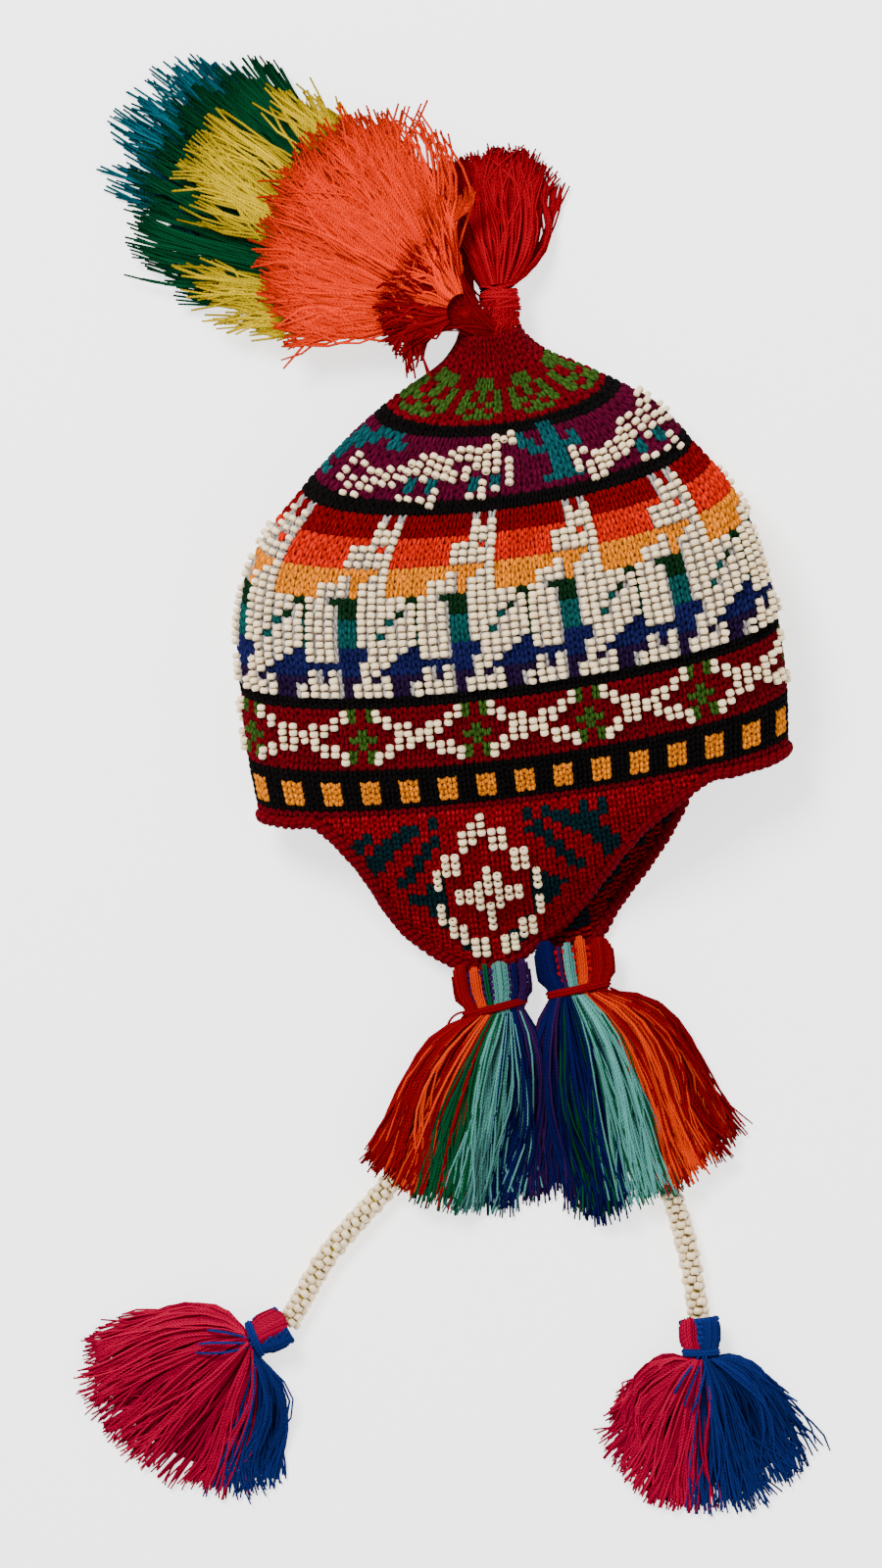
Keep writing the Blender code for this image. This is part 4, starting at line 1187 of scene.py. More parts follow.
# Tassels at the ropes' ends: side, direction in degrees, fan, yarns
END_TASSELS = (
    ("left", -155.0, END_LEFT_FAN, END_LEFT_BANDS),
    ("right", -87.0, END_RIGHT_FAN, END_RIGHT_BANDS),
)


def pick_yarns(bands, across, blur=0.03):
    """Material of each yarn from its place across a tassel."""
    limits = np.array([band[0] for band in bands])
    found = np.searchsorted(limits, np.clip(across + RANDOM.normal(0.0, blur, across.shape), 0.0, 1.0))
    letters = [bands[min(index, len(bands) - 1)][1] for index in found.ravel()]
    picks = RANDOM.random(len(letters))
    return np.array([STRAND[BAND_NAMES[word[int(pick * len(word))]]] for word, pick in zip(letters, picks)])


class Bundle:
    """A fan of yarns along its own +X, as the solids have it."""

    def __init__(self, fan, length, place, heading, root, half_width, low, skirt_depth, floor=None):
        self.fan, self.length = fan, length
        self.place, self.heading = np.array([*place, 0.0]), heading
        self.root, self.half_width, self.low = root, half_width, low
        self.skirt_depth = skirt_depth
        self.floor = floor or self.plain_floor

    def to_world(self, points):
        """From the bundle's own axes to the row frame."""
        cos, sin = math.cos(self.heading), math.sin(self.heading)
        turned = np.stack([points[..., 0] * cos - points[..., 1] * sin,
                           points[..., 0] * sin + points[..., 1] * cos, points[..., 2]], axis=-1)
        return turned + self.place

    def plain_floor(self, across, out):
        """Underside that falls from the waist to the floor."""
        return self.low + (FLOOR_GAP - self.low) * smooth_step(out / 0.5)

    def depth(self, out):
        """Thickness at a share of the way out."""
        return self.skirt_depth * (1.0 - 0.78 * smooth_step(1.25 * out - 0.25))

    def start(self, across):
        """Where a yarn leaves the waist."""
        return np.stack([np.full(across.shape, self.root), self.half_width * (2.0 * across - 1.0)], axis=-1)

    def flat(self, across, out):
        """Plan of a point at a share across and a share out."""
        turn, reach, bow = rows_at(self.fan, across)
        turn = np.radians(turn)
        ahead = np.stack([np.cos(turn), np.sin(turn)], axis=-1) * (reach * self.length)[..., None]
        swing = np.stack([-ahead[..., 1], ahead[..., 0]], axis=-1) * bow[..., None]
        root = self.start(across)
        tip = self.centre() + ahead
        out = out[..., None]
        return root + (tip - root) * out + swing * self.bulge(out)

    def bulge(self, out):
        """Share of the bow at a share out; a skirt swells soon after its waist."""
        return 6.75 * out * (1.0 - out) ** 2

    def centre(self):
        """Point that the fan's directions start from."""
        return np.array([self.root, 0.0])

    def point(self, across, out, level):
        """Point at a share across, a share out and a share of the thickness."""
        flat = self.flat(across, out)
        swell = np.sqrt(np.clip(1.0 - (2.0 * across - 1.0) ** 2, 0.0, 1.0))
        low = self.floor(across, out)
        height = low + level * self.depth(out) * (0.35 + 0.65 * swell)
        return np.concatenate([flat, height[..., None]], axis=-1)


class Layer(Bundle):
    """One layer of the plume, round the knot."""

    def __init__(self, fan, length, level):
        root = 0.5 * KNOT_WIDTH + 2.0 * GAP
        super().__init__(fan, length, KNOT_PLACE, 0.0, root, 0.0, 0.0, PLUME_LAYER_DEPTH)
        self.bottom = FLOOR_GAP + level * (PLUME_LAYER_DEPTH + GAP)

    def start(self, across):
        turn = np.radians(rows_at(self.fan, across)[0])
        return np.stack([np.cos(turn), np.sin(turn)], axis=-1) * self.root

    def bulge(self, out):
        return 4.0 * out * (1.0 - out)

    def centre(self):
        return np.zeros(2)

    def depth(self, out):
        return (PLUME_LAYER_DEPTH - 0.0009) * (1.0 - 0.6 * smooth_step(out))

    def plain_floor(self, across, out):
        return np.full(np.shape(out), self.bottom)


def yarn_lines(bundle, count, locks, start=0.0, untidy=1.0, level=(0.5, 1.05), longer=1.0, stretches=WHOLE):
    """Centre lines and tones of the yarns of a bundle, gathered into locks that bend together; lower yarns
    get painted shade.
    """
    lock = np.sort(RANDOM.integers(0, locks, count))
    place = RANDOM.permutation((np.arange(locks) + 0.5) / locks) + RANDOM.normal(0.0, 0.25 / locks, locks)
    place = place % 1.0
    part = np.minimum((place * len(stretches)).astype(int), len(stretches) - 1)
    inside = place * len(stretches) - part
    ends = np.array(stretches)
    place = ends[part, 0] + (ends[part, 1] - ends[part, 0]) * inside
    shift = RANDOM.normal(0.0, 0.9 / locks, locks)
    lift = RANDOM.random(locks)
    share = np.linspace(0.0, 1.0, 9)
    strays = RANDOM.random(count) < 0.06
    reach = RANDOM.normal(0.975, 0.03, locks)[lock] * RANDOM.normal(0.985, 0.025, count)
    reach = np.clip(reach, 0.8, 1.03) * longer
    out = start + (reach[:, None] - start) * share
    loose = np.where(strays, 1.7, 1.0)[:, None]
    first = place[lock] + RANDOM.normal(0.0, 0.6 / locks, count)
    last = place[lock] + shift[lock] + RANDOM.normal(0.0, 1.1 / locks, count)
    across = np.clip(first[:, None] + (last - first)[:, None] * smooth_step(share), 0.0, 1.0)
    height = 0.72 * lift[lock] + 0.28 * RANDOM.random(count)
    # Painted shade: yarns lower in the bundle, beneath the others, are darker
    tones = np.clip((0.55 + 0.55 * height) * RANDOM.normal(1.0, 0.13, count), 0.4, 1.35)
    height = np.where(RANDOM.random(count) < 0.15, 0.12 * height, level[0] + (level[1] - level[0]) * height)
    lines = bundle.point(across, out, height[:, None] + 0.0 * across)
    ahead = unit(np.gradient(lines, axis=1))
    side = np.stack([-ahead[..., 1], ahead[..., 0], 0.0 * ahead[..., 0]], axis=-1)
    phase = RANDOM.random(locks)[lock, None] * 2.0 * math.pi + RANDOM.normal(0.0, 0.35, (count, 1))
    waves = RANDOM.uniform(0.5, 1.5, locks)[lock, None]
    sway = np.sin(phase + 2.0 * math.pi * waves * share) - np.sin(phase)
    swing = RANDOM.normal(0.0, 1.0, locks)[lock, None]
    own = np.sin(RANDOM.random((count, 1)) * 6.3 + RANDOM.uniform(4.0, 10.0, (count, 1)) * share)
    curl = np.clip(RANDOM.normal(0.0, 1.3, (count, 1)), -2.0, 2.0) * smooth_step((share - 0.55) / 0.45)
    aside = (sway * swing * 1.5 + own * 0.8) * share + curl * share * share
    lines = lines + side * (aside * loose * untidy * MM)[..., None]
    rise = np.sin(RANDOM.random((count, 1)) * 6.3 + RANDOM.uniform(4.0, 9.0, (count, 1)) * share) * 0.5
    lines[..., 2] += rise * MM * share * loose
    lines[..., 2] = np.maximum(lines[..., 2], STRAND_RADIUS + CLEAR)
    return bundle.to_world(lines), across.mean(axis=1), tones


def add_core(piece, bundle, slots_at, outs):
    """The dense inside of a bundle, darkened as painted shade, so that nothing shows between its yarns."""
    sides = 15
    across = 0.04 + 0.92 * (0.5 - 0.5 * np.cos(np.linspace(0.0, math.pi, sides)))
    share, out = np.meshgrid(across, np.array(outs))
    top, low = [bundle.to_world(bundle.point(share, out, np.full(share.shape, level)))
                for level in (0.5, 0.12)]
    faces, round_it, _ = grid_faces(len(outs), 2 * sides, closed=True)
    middle = np.concatenate([across, across[::-1]])
    middle = 0.5 * (middle + np.roll(middle, -1))
    slots = np.tile(slots_at(middle), len(outs) - 1)
    size = len(outs) * 2 * sides
    maps = np.stack([round_it * 40.0, np.zeros(round_it.shape)], axis=-1)
    # Painted shade: the core's colour is dimmed to 0.45 of its yarn's
    piece.add(np.concatenate([top, low[:, ::-1]], axis=1), faces, slots, maps, np.full(size, 0.45))
    index = np.arange(sides - 1)
    quads = np.stack([index, index + 1, 2 * sides - 2 - index, 2 * sides - 1 - index], axis=-1)
    for first, flip in ((0, 1), (size - 2 * sides, -1)):
        piece.add_faces(quads[:, ::flip] + first - size, slots_at(middle[:sides - 1]))


def add_head(piece, bundle, head, waist, height, bands, loops, ahead):
    """Loops of yarn that fold over the end of a tassel's head, a rounded lobe for each colour."""
    length, width, depth = head
    low, radius = bundle.low, HEAD_STRAND
    turn = np.linspace(-0.5 * math.pi, 0.5 * math.pi, 11)
    turn = np.concatenate([[turn[0]], turn, [turn[-1]]])
    share = np.cos(turn)
    share[0] = share[-1] = -0.30
    first = 0.0
    for last, letter in bands:
        middle_side, half_side = first + last - 1.0, last - first
        count = max(4, round(loops * (last - first)))
        rise = RANDOM.uniform(0.7, 1.15)
        for layer in range(2):
            u = np.linspace(-1.0, 1.0, count) * (1.0 - 0.08 * layer) + RANDOM.normal(0.0, 0.03, count)
            u = np.clip(u, -1.0, 1.0)[:, None]
            side = middle_side + half_side * u
            back = share[None, :] * (1.0 - 0.28 * np.abs(u) ** 3) * (1.0 - 0.05 * layer)
            narrow = smooth_step(1.0 - np.clip(share[None, :] + 0.2, 0.0, 0.6) / 0.6)
            half = 0.5 * (1.06 * width + (waist[0] - 1.06 * width) * narrow) - radius
            thick = 0.5 * (depth + (waist[1] - depth) * narrow) - radius
            round_off = np.sqrt(np.clip(1.0 - 0.80 * side * side, 0.0, 1.0))
            round_off = round_off * (1.0 - 0.42 * u * u * (1.0 - narrow))
            middle = height + (low + 0.5 * waist[1] - height) * narrow
            upper = smooth_step(0.5 + 0.5 * np.sin(turn))[None, :]
            out = length - (length + ahead * rise * (0.35 + 0.65 * upper)) * back + radius
            high = middle + thick * np.sin(turn)[None, :] * round_off * (1.0 - 0.06 * layer)
            high = np.maximum(high + HEAD_RISE * np.clip(back, 0.0, 1.0) ** 2, radius + CLEAR)
            points = np.stack([out, half * side * np.ones(back.shape), high], axis=-1)
            # Painted shade: loops darken towards both sides of each colour's lobe
            tones = np.clip(RANDOM.normal(1.0 - 0.40 * np.abs(u[:, 0]) ** 3, 0.14), 0.4, 1.25)
            add_strands(piece, bundle.to_world(points), radius, STRAND[BAND_NAMES[letter]], tones=tones)
        first = last


def add_winding(piece, bundle, along, half_width, half_depth, middle, turns, radius, slot, slant=0.0):
    """Yarn wound round a waist, turn beside turn."""
    steps = 18 * turns + 1
    angle = np.linspace(0.0, 2.0 * math.pi * turns, steps)
    span = along[0] + (along[1] - along[0]) * angle / angle[-1]
    span = span + slant * np.cos(angle)
    wobble = 1.0 + 0.03 * np.sin(angle * 0.37)
    high = np.maximum(middle + half_depth * np.sin(angle) * wobble, radius + CLEAR)
    points = np.stack([span, half_width * np.cos(angle) * wobble, high], axis=-1)
    add_strands(piece, bundle.to_world(points)[None], radius, slot, sides=6, cap=False)


def bend_through(points):
    """Seven points on a smooth curve guided by four, strand by strand."""
    share = np.linspace(0.0, 1.0, 7)[None, :, None]
    a, b, c, d = [points[:, index, None] for index in range(4)]
    rest = 1.0 - share
    return rest ** 3 * a + 3.0 * rest ** 2 * share * b + 3.0 * rest * share ** 2 * c + share ** 3 * d


def rope_floor(low, under):
    """Underside of a skirt over a rope that leaves beneath it, and on the floor to both sides."""
    clear = FLOOR_GAP + ROPE_DIAMETER + 2.0 * GAP

    def floor(across, out):
        rope_at = under[0] + (under[1] - under[0]) * out
        aside = smooth_step((np.abs(across - rope_at) - 0.22) / 0.25) * smooth_step((out - 0.15) / 0.4)
        over_rope = low + (clear - low) * smooth_step(out / 0.12)
        return over_rope + (FLOOR_GAP - over_rope) * aside

    return floor


def make_tassel(name, slot, bundle, head, waist, height, bands, head_bands, count, locks, loops, ahead):
    """Core, head loops and yarns of a tassel."""
    piece = Piece(name + "_yarn", slot, (name,), STRAND_MATERIALS)

    def slots_at(share):
        return pick_yarns(bands, share, 0.0)

    add_core(piece, bundle, slots_at, (-0.08, 0.0, 0.12, 0.3, 0.55, 0.8))
    add_head(piece, bundle, head, waist, height, head_bands, loops, ahead)
    add_winding(piece, bundle, (0.001 - 0.4 * ahead, head[0]), 0.43 * head[1], 0.32 * head[2], height, 5,
                INNER_WINDING, STRAND[BAND_NAMES[head_bands[-1][1]]])
    lines, across, tones = yarn_lines(bundle, count, locks, untidy=1.7, longer=0.97)
    radius = RANDOM.normal(STRAND_RADIUS, 0.00003, count)
    add_strands(piece, lines, radius, pick_yarns(bands, across), tones=tones)
    piece.build()


def make_ties(name, slot, bundle, waist, yarn, slant, ends):
    """The yarn tied round a tassel's waist, with its loose ends."""
    piece = Piece(name + "_yarn", slot, (name,), STRAND_MATERIALS)
    middle = bundle.low + 0.5 * waist[1]
    start, end = bundle.root - WAIST_LENGTH + 0.9 * MM, bundle.root - 0.9 * MM
    rounds = (((start, end), 1.0, 4, slant), ((start + 0.6 * MM, end - 0.3 * MM), 1.9, 2, 0.8 * slant))
    for along, out, turns, lean in rounds:
        half_width, half_depth = [0.5 * size + out * TIE_STRAND for size in waist]
        add_winding(piece, bundle, along, half_width, half_depth, middle, turns, TIE_STRAND, STRAND[yarn],
                    lean)
    add_strands(piece, bundle.to_world(bend_through(ends)), TIE_END_STRAND, STRAND[yarn], sides=5)
    piece.build()


def smooth_line(points, spacing, closed=False):
    """Even points on a smooth curve through chosen ones."""
    points = np.array(points, float)
    spots = np.concatenate([points[-1:], points, points[:2]] if closed else [points[:1], points, points[-1:]])
    share = np.arange(12)[:, None] / 12
    dense = []
    for a, b, c, d in zip(spots, spots[1:], spots[2:], spots[3:]):
        dense.append(0.5 * (2 * b + (c - a) * share + (2 * a - 5 * b + 4 * c - d) * share ** 2
                            + (3 * b - a - 3 * c + d) * share ** 3))
    dense = np.concatenate(dense + [points[:1] if closed else points[-1:]])
    lengths = np.concatenate([[0.0], np.cumsum(np.linalg.norm(np.diff(dense, axis=0), axis=1))])
    goals = np.linspace(0.0, lengths[-1], max(2, round(lengths[-1] / spacing)) + 1)
    return np.stack([np.interp(goals, lengths, values) for values in dense.T], axis=-1), lengths[-1]


def carried_frames(line):
    """Square directions carried along a line without twist."""
    ahead = unit(np.gradient(line, axis=0))
    side = np.zeros_like(line)
    first = np.cross(ahead[0], [0.0, 0.0, 1.0])
    side[0] = first / np.linalg.norm(first)
    for i in range(1, len(line)):
        kept = side[i - 1] - ahead[i] * np.dot(side[i - 1], ahead[i])
        side[i] = kept / np.linalg.norm(kept)
    return ahead, side, np.cross(side, ahead)


def make_rope(side, start, route):
    """A rope of seed beads in a spiral round a cord; gives its end and its heading there."""
    height = 0.5 * ROPE_DIAMETER + FLOOR_GAP
    line, _ = smooth_line([(start[0] + x, start[1] + y, height) for x, y in route], ROPE_PITCH)
    ahead, aside, above = carried_frames(line)
    rows = np.arange(len(line))[:, None]
    turn = 2.0 * math.pi * (np.arange(ROPE_BEADS_ROUND) + 0.5 * rows) / ROPE_BEADS_ROUND + ROPE_TWIST * rows
    out = aside[:, None] * np.cos(turn)[..., None] + above[:, None] * np.sin(turn)[..., None]
    ring = 0.5 * ROPE_DIAMETER - ROPE_BEAD_RADIUS + ROPE_SWELL
    slip = RANDOM.normal(0.0, 0.00012, turn.shape)[..., None]
    slide = RANDOM.normal(0.0, 0.00015, turn.shape)[..., None]
    centre = line[:, None] + out * (ring + slip) + ahead[:, None] * slide
    centre[..., 2] = np.maximum(centre[..., 2], ROPE_BEAD_RADIUS + CLEAR)
    along = unit(ahead[:, None] + np.cross(ahead[:, None] + 0.0 * out, out) * 0.35)
    centre, along, out = [values.reshape(-1, 3) for values in (centre, along, out)]
    across = unit(np.cross(along, out))
    name = "bead_rope_" + side
    piece = Piece(name + "_beads", "seed_beads", (name,), BEADS + STRAND_MATERIALS)
    add_beads(piece, centre, across, along, np.cross(across, along), ROPE_BEAD_RADIUS, ROPE_BEAD_LENGTH,
              BEAD_ROPE)
    # The cord is real; its tone of 0.4 is painted shade in the gaps between the beads
    add_strands(piece, line[None], ROPE_CORD_RADIUS, len(BEADS) + STRAND["yellow"], sides=8, cap=False,
                tones=np.array([0.4]))
    piece.build()
    direction = line[-1] - line[-2]
    return line[-1], math.atan2(direction[1], direction[0])


def beside(here, along, inner):
    """Step out of a border, square to it, far enough for the edging to clear the wall."""
    along = unit(along)
    out = -unit(inner - along * np.sum(inner * along, axis=-1, keepdims=True))
    return here + out * (0.5 * EDGING_DIAMETER + GAP)


def flap_edge(flap, across, down):
    """Centre of the edging beside a point of a flap's border."""
    step = 0.02

    def spot(share, fall, inset=0.0):
        return flap.solid_point(np.array(share), np.array(fall), inset)

    here = spot(across, down, SOLID_WALL)
    inner = spot(0.5, min(down, 0.7), SOLID_WALL) - here
    if down >= 1.0:
        along = spot(min(1.0, across + step), 1.0) - spot(max(0.0, across - step), 1.0)
    else:
        along = spot(across, min(1.0, down + step)) - spot(across, max(0.0, down - step))
    return beside(here, along, inner)


def flap_corner(flap, across):
    """Centre of the edging at a corner of a flap's tip."""
    here, before = [flap.solid_point(np.array(across), np.array(down), SOLID_WALL) for down in (1.0, 0.98)]
    side = unit(flap_edge(flap, across, 0.98) - before)
    end = unit(flap_edge(flap, across, 1.0) - here)
    middle = unit(side + end)
    return here + middle * (0.5 * EDGING_DIAMETER + GAP) / max(0.5, float(np.dot(middle, side)))


def rim_run(start, end):
    """Centre line of the edging along the open rim between two angles."""
    angle = np.linspace(start, end, 13)
    zero = np.zeros(13)
    along = crown_place(angle + 0.02, zero) - crown_place(angle - 0.02, zero)
    inner = crown_place(angle, zero + 0.04) - crown_place(angle, zero)
    return list(beside(crown_place(angle, zero, SOLID_WALL), along, inner))


def flap_run(flap, first):
    """Centre line of the edging round a flap."""
    second = 1.0 - first
    points = [flap_edge(flap, first, i / 7) for i in range(1, 7)]
    points.append(flap_corner(flap, first))
    points += [flap_edge(flap, i / 12 if first == 0.0 else 1.0 - i / 12, 1.0) for i in range(2, 11, 2)]
    points.append(flap_corner(flap, second))
    points += [flap_edge(flap, second, i / 7) for i in range(6, 0, -1)]
    return points


def rim_angle(side, sign):
    """Angle at which the rim stands at a distance from the crown's axis."""
    middle, half = rim_size()
    return sign * math.acos((side - middle) / half)


def make_edging():
    """The crocheted cord round the rim and both flaps: slanted lobes of yarn round a core."""
    near_left, near_right = [FLAP_WIDTH * side for side in NEAR_FLAP_ROWS[0][1:]]
    far_left, far_right = [FLAP_WIDTH * side for side in FAR_FLAP_ROWS[0][1:]]
    clear = 1.2 * EDGING_DIAMETER
    points = rim_run(rim_angle(near_right + clear, 1.0), rim_angle(far_right + clear, -1.0))
    points += flap_run(FAR_FLAP, 1.0)
    points += rim_run(rim_angle(far_left - clear, -1.0), rim_angle(near_left - clear, 1.0) - 2.0 * math.pi)
    points += flap_run(NEAR_FLAP, 0.0)
    points = np.array(points)
    points[:, 2] = np.maximum(points[:, 2], 0.5 * EDGING_DIAMETER + FLOOR_GAP)
    line, length = smooth_line(to_world(points), 0.0005, closed=True)
    ahead, aside, above = carried_frames(line)
    piece = Piece("rim_edging_crochet", "crochet_edging", ("rim_edging",), STRAND_MATERIALS)
    span = np.linspace(0.0, length, len(line))
    laps = round(length / CROCHET_PITCH)
    for phase in (0.0, math.pi):
        turn = 2.0 * math.pi * laps * span / length + phase + 0.35 * np.sin(span * 310.0)
        radius = CROCHET_RADIUS + 0.00015 * np.sin(span * 470.0 + phase)
        path = line + (aside * np.cos(turn)[:, None] + above * np.sin(turn)[:, None]) * radius[:, None]
        path[:, 2] = np.maximum(path[:, 2], CROCHET_STRAND + CLEAR)
        add_strands(piece, path[None], CROCHET_STRAND, STRAND["edging"], sides=6, cap=False,
                    tones=np.array([1.0]))
    line[:, 2] = np.maximum(line[:, 2], CROCHET_CORE + CLEAR)
    # Painted shade: the core inside the lobes is dimmed to 0.7 of the lobes' tone
    add_strands(piece, line[None, ::6], CROCHET_CORE, STRAND["edging"], sides=8, cap=False,
                tones=np.array([0.7]))
    piece.build()


def low_side(height, waist):
    """Underside of a waist whose tie still clears the floor."""
    return max(TIE_DIAMETER + GAP + FLOOR_GAP, height - 0.5 * waist[1])


def make_flap_tassel(side, slant, ahead, place, height, fan, under, bands, head_bands, route, rope_side):
    """Tassel, tie and bead rope at a flap's tip; gives the rope's end and heading."""
    low = low_side(height, FLAP_WAIST)
    root = FLAP_HEAD[0] + WAIST_LENGTH
    start = np.array(place) + root * np.array([math.cos(TASSEL_HEADING), math.sin(TASSEL_HEADING)])
    bundle = Bundle(fan, FLAP_TASSEL_LENGTH, place, TASSEL_HEADING, root, 0.5 * FLAP_WAIST[0], low,
                    FLAP_SKIRT_DEPTH, rope_floor(low, under))
    make_tassel("flap_tassel_" + side, "tassel_yarn", bundle, FLAP_HEAD, FLAP_WAIST, height, bands,
                head_bands, *FLAP_YARNS, ahead)
    ends = np.array(NEAR_ENDS)
    if side == "far":
        ends = np.array(FAR_ENDS) + RANDOM.normal(0.0, 0.0011, (9, 4, 3)) * np.array([1.0, 1.0, 0.5])
    make_ties("flap_tie_" + side, "tie_red", bundle, FLAP_WAIST, "tie_red", slant, ends)
    return make_rope(rope_side, start, route)


def make_end_tassel(rope_end, rope_heading, side, degrees, fan, bands):
    """Tassel and tie at a bead rope's end."""
    heading = math.radians(degrees)
    out = np.array([math.cos(heading), math.sin(heading)])
    turn = abs(math.sin(heading - rope_heading))
    place = rope_end[:2] + out * (0.5 * ROPE_DIAMETER * turn + 1.5 * GAP)
    height = 0.5 * END_HEAD[2] + FLOOR_GAP
    bundle = Bundle(fan, END_TASSEL_LENGTH, place, heading, END_HEAD[0] + WAIST_LENGTH, 0.5 * END_WAIST[0],
                    low_side(height, END_WAIST), END_SKIRT_DEPTH)
    make_tassel("end_tassel_" + side, "end_tassel_yarn", bundle, END_HEAD, END_WAIST, height, bands,
                ((bands[0][0], "K"), (1.0, "B")), *END_YARNS, END_HEAD_REACH)
    make_ties("end_tie_" + side, "tie_navy", bundle, END_WAIST, "end_navy", 0.0004, np.array(END_ENDS))


def make_tuft():
    """The wrapped red tuft at the neck's end."""
    root = TUFT_HEAD[0] + WAIST_LENGTH
    red = STRAND["tuft_red"]
    tuft = Bundle(TUFT_FAN, TUFT_LENGTH, TUFT_PLACE, TUFT_HEADING, root, 0.5 * TUFT_WAIST[0],
                  low_side(TUFT_HEIGHT, TUFT_WAIST), TUFT_DEPTH)
    piece = Piece("plume_tuft_yarn", "tuft_red", ("plume_tuft_red",), STRAND_MATERIALS)
    add_core(piece, tuft, lambda share: np.full(len(share), red), (-0.15, 0.0, 0.12, 0.3, 0.55, 0.8))
    lines, _, tones = yarn_lines(tuft, *TUFT_YARNS, untidy=2.0, longer=0.93)
    add_strands(piece, lines, STRAND_RADIUS, red, tones=tones)
    for _ in range(TUFT_WINDINGS):
        spot = RANDOM.uniform(0.0, root - 0.001)
        bulge = 0.86 + 0.14 * math.sin(math.pi * spot / root) + RANDOM.normal(0.0, 0.03)
        add_winding(piece, tuft, (spot, spot + RANDOM.uniform(-0.002, 0.003)), 0.5 * TUFT_HEAD[1] * bulge,
                    0.5 * TUFT_HEAD[2] * bulge, TUFT_HEIGHT, 1, TIE_STRAND, red, RANDOM.normal(0.0, 0.0018))
    piece.build()


def make_layer(level, name, slot, node_name, fan, length, start, count, longer, untidy, outs, stretches):
    """One layer of the plume; the dark red one has orange yarns among its upper ones."""
    layer = Layer(fan, length, level)
    piece = Piece(node_name + "_yarn", slot, (node_name,), STRAND_MATERIALS)
    mixed = name == "dark_red"

    def slots_at(share):
        return np.where(mixed & (share < ORANGE_IN_BASE), STRAND["orange"], STRAND[name])

    add_core(piece, layer, slots_at, outs)
    lines, across, tones = yarn_lines(layer, count, max(12, count // 7), start=start, untidy=untidy,
                                      level=(0.4, 1.2), longer=longer, stretches=stretches)
    yarns = slots_at(across + RANDOM.normal(0.0, 0.10, count))
    add_strands(piece, lines, RANDOM.normal(PLUME_STRAND_RADIUS, 0.00004, count), yarns, tones=tones)
    piece.build()


def make_knot():
    """The wound knot, and the yarns that join it to the neck, the tuft and the plume."""
    piece = Piece("plume_knot_yarn", "plume_dark_red", ("plume_knot",), STRAND_MATERIALS)
    red = STRAND["dark_red"]
    centre = np.array([*KNOT_PLACE, 0.5 * KNOT_DEPTH + FLOOR_GAP])
    turn = np.linspace(0.0, 2.0 * math.pi, 25)
    lines = []
    for wrap in range(KNOT_WRAPS):
        tilt = math.pi * wrap / KNOT_WRAPS + RANDOM.normal(0.0, 0.05)
        squash = 1.0 - 0.07 * RANDOM.random()
        flat = np.cos(turn) * (0.5 * KNOT_WIDTH - 0.0004) * squash
        high = np.sin(turn) * (0.5 * KNOT_DEPTH - KNOT_STRAND) * squash
        lines.append(centre + np.stack([flat * math.cos(tilt), flat * math.sin(tilt), high], axis=-1))
    add_strands(piece, np.array(lines), KNOT_STRAND, red, cap=False)
    count = NECK_YARNS
    spread = RANDOM.uniform(-1.0, 1.0, count)
    along, up = TURN[:, 0], TURN[:, 1]
    start = np.array(NECK_PLACE) + spread[:, None] * along * 0.0115
    start = start - up * RANDOM.uniform(0.001, 0.006, (count, 1))
    start[:, 2] += np.sqrt(1.0 - 0.9 * spread ** 2) * 0.0085 - 0.001
    turn = np.radians(RANDOM.uniform(100.0, 215.0, count))
    ahead = np.stack([np.cos(turn), np.sin(turn), 0.0 * turn], axis=-1)
    over = centre + ahead * 0.003 + np.array([0.0, 0.0, 0.0165]) + RANDOM.normal(0.0, 0.0015, (count, 3))
    far = centre + ahead * RANDOM.uniform(0.014, 0.020, (count, 1)) + np.array([0.0, 0.0, 0.0155])
    end = centre + ahead * RANDOM.uniform(0.024, 0.040, (count, 1)) + np.array([0.0, 0.0, 0.0150])
    far += RANDOM.normal(0.0, 0.0012, (count, 3))
    end += RANDOM.normal(0.0, 0.0022, (count, 3))
    add_strands(piece, bend_through(np.stack([start, over, far, end], axis=1)), NECK_STRAND, red, sides=3)
    place = start[:JOINING_YARNS] - up * 0.002
    tip = np.array([*TUFT_PLACE, TUFT_HEIGHT]) + up * RANDOM.uniform(0.002, 0.012, (JOINING_YARNS, 1))
    side = RANDOM.uniform(-1.0, 1.0, (JOINING_YARNS, 1))
    tip = tip + side * along * 0.0085
    tip[:, 2] += np.sqrt(1.0 - 0.9 * side[:, 0] ** 2) * 0.0095
    guide = np.array(KNOT_TO_TUFT) + RANDOM.normal(0.0, 0.0022, (KNOT_YARNS, 4, 3))
    guide[..., 2] = np.maximum(guide[..., 2], 0.0015)
    add_strands(piece, bend_through(guide), STRAND_RADIUS, red)
    middle = 0.5 * (place + tip) + np.array([0.0, 0.0, 0.0015])
    guide = np.stack([place, 0.5 * (place + middle), middle, tip], axis=1)
    add_strands(piece, bend_through(guide), JOINING_STRAND, STRAND["tuft_red"], sides=3)
    piece.build()


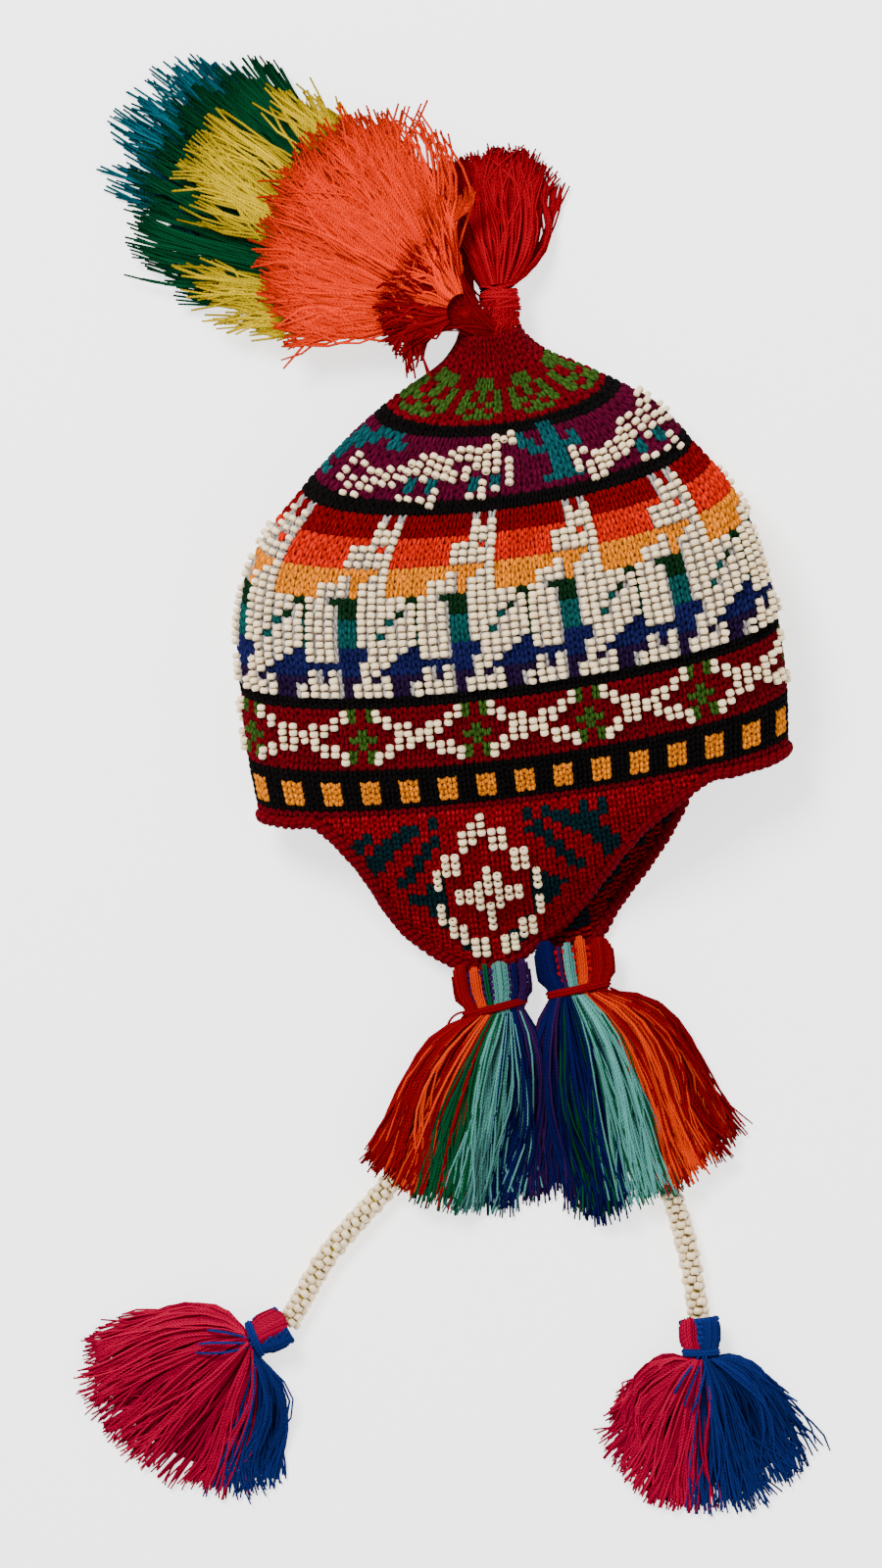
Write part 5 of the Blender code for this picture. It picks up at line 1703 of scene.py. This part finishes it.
make_edging()
ropes = [make_flap_tassel(*row) for row in FLAP_TASSELS]
for rope, row in zip(ropes, END_TASSELS):
    make_end_tassel(*rope, *row)
make_tuft()
for level, row in enumerate(PLUME):
    make_layer(level, *row)
make_knot()


# Studio: lights with their places, sizes and powers, and the length that the camera sees at a height
LIGHTS = (("key", (-0.9, 1.1, 1.9), 0.8, 95.0), ("fill", (1.4, -0.9, 1.7), 1.6, 16.0))
CAMERA_PLACE = (-0.0308, -0.0704, 3.0)
VIEW_LENGTH = 0.704
VIEW_HEIGHT = 0.015
SENSOR = 36.0


def add_stage():
    """Pale floor, soft studio light and the camera straight above."""
    scene = bpy.context.scene
    bpy.ops.mesh.primitive_plane_add(size=12.0, location=(0.0, 0.0, 0.0))
    floor = bpy.context.object
    floor.name = "studio_floor"
    material = bpy.data.materials.new("studio_floor")
    material.use_nodes = True
    shader = material.node_tree.nodes["Principled BSDF"]
    shader.inputs["Base Color"].default_value = (0.93, 0.93, 0.93, 1.0)
    shader.inputs["Roughness"].default_value = 0.9
    shader.inputs["Emission Color"].default_value = (1.0, 1.0, 1.0, 1.0)
    shader.inputs["Emission Strength"].default_value = 1.6
    floor.data.materials.append(material)
    for name, place, size, power in LIGHTS:
        light = bpy.data.lights.new(name, "AREA")
        light.size = size
        light.energy = power
        item = bpy.data.objects.new(name, light)
        scene.collection.objects.link(item)
        item.location = place
        x, y, z = place
        item.rotation_euler = (math.atan2(math.hypot(x, y), z), 0.0, math.atan2(-y, -x) - 0.5 * math.pi)
    world = bpy.data.worlds.new("studio")
    world.use_nodes = True
    world.node_tree.nodes["Background"].inputs["Color"].default_value = (1.0, 1.0, 1.0, 1.0)
    world.node_tree.nodes["Background"].inputs["Strength"].default_value = 0.80
    scene.world = world
    lens = bpy.data.cameras.new("camera")
    lens.sensor_width = SENSOR
    lens.lens = SENSOR * (CAMERA_PLACE[2] - VIEW_HEIGHT) / VIEW_LENGTH
    lens.clip_end = 50.0
    camera = bpy.data.objects.new("camera", lens)
    scene.collection.objects.link(camera)
    camera.location = CAMERA_PLACE
    scene.camera = camera


add_stage()
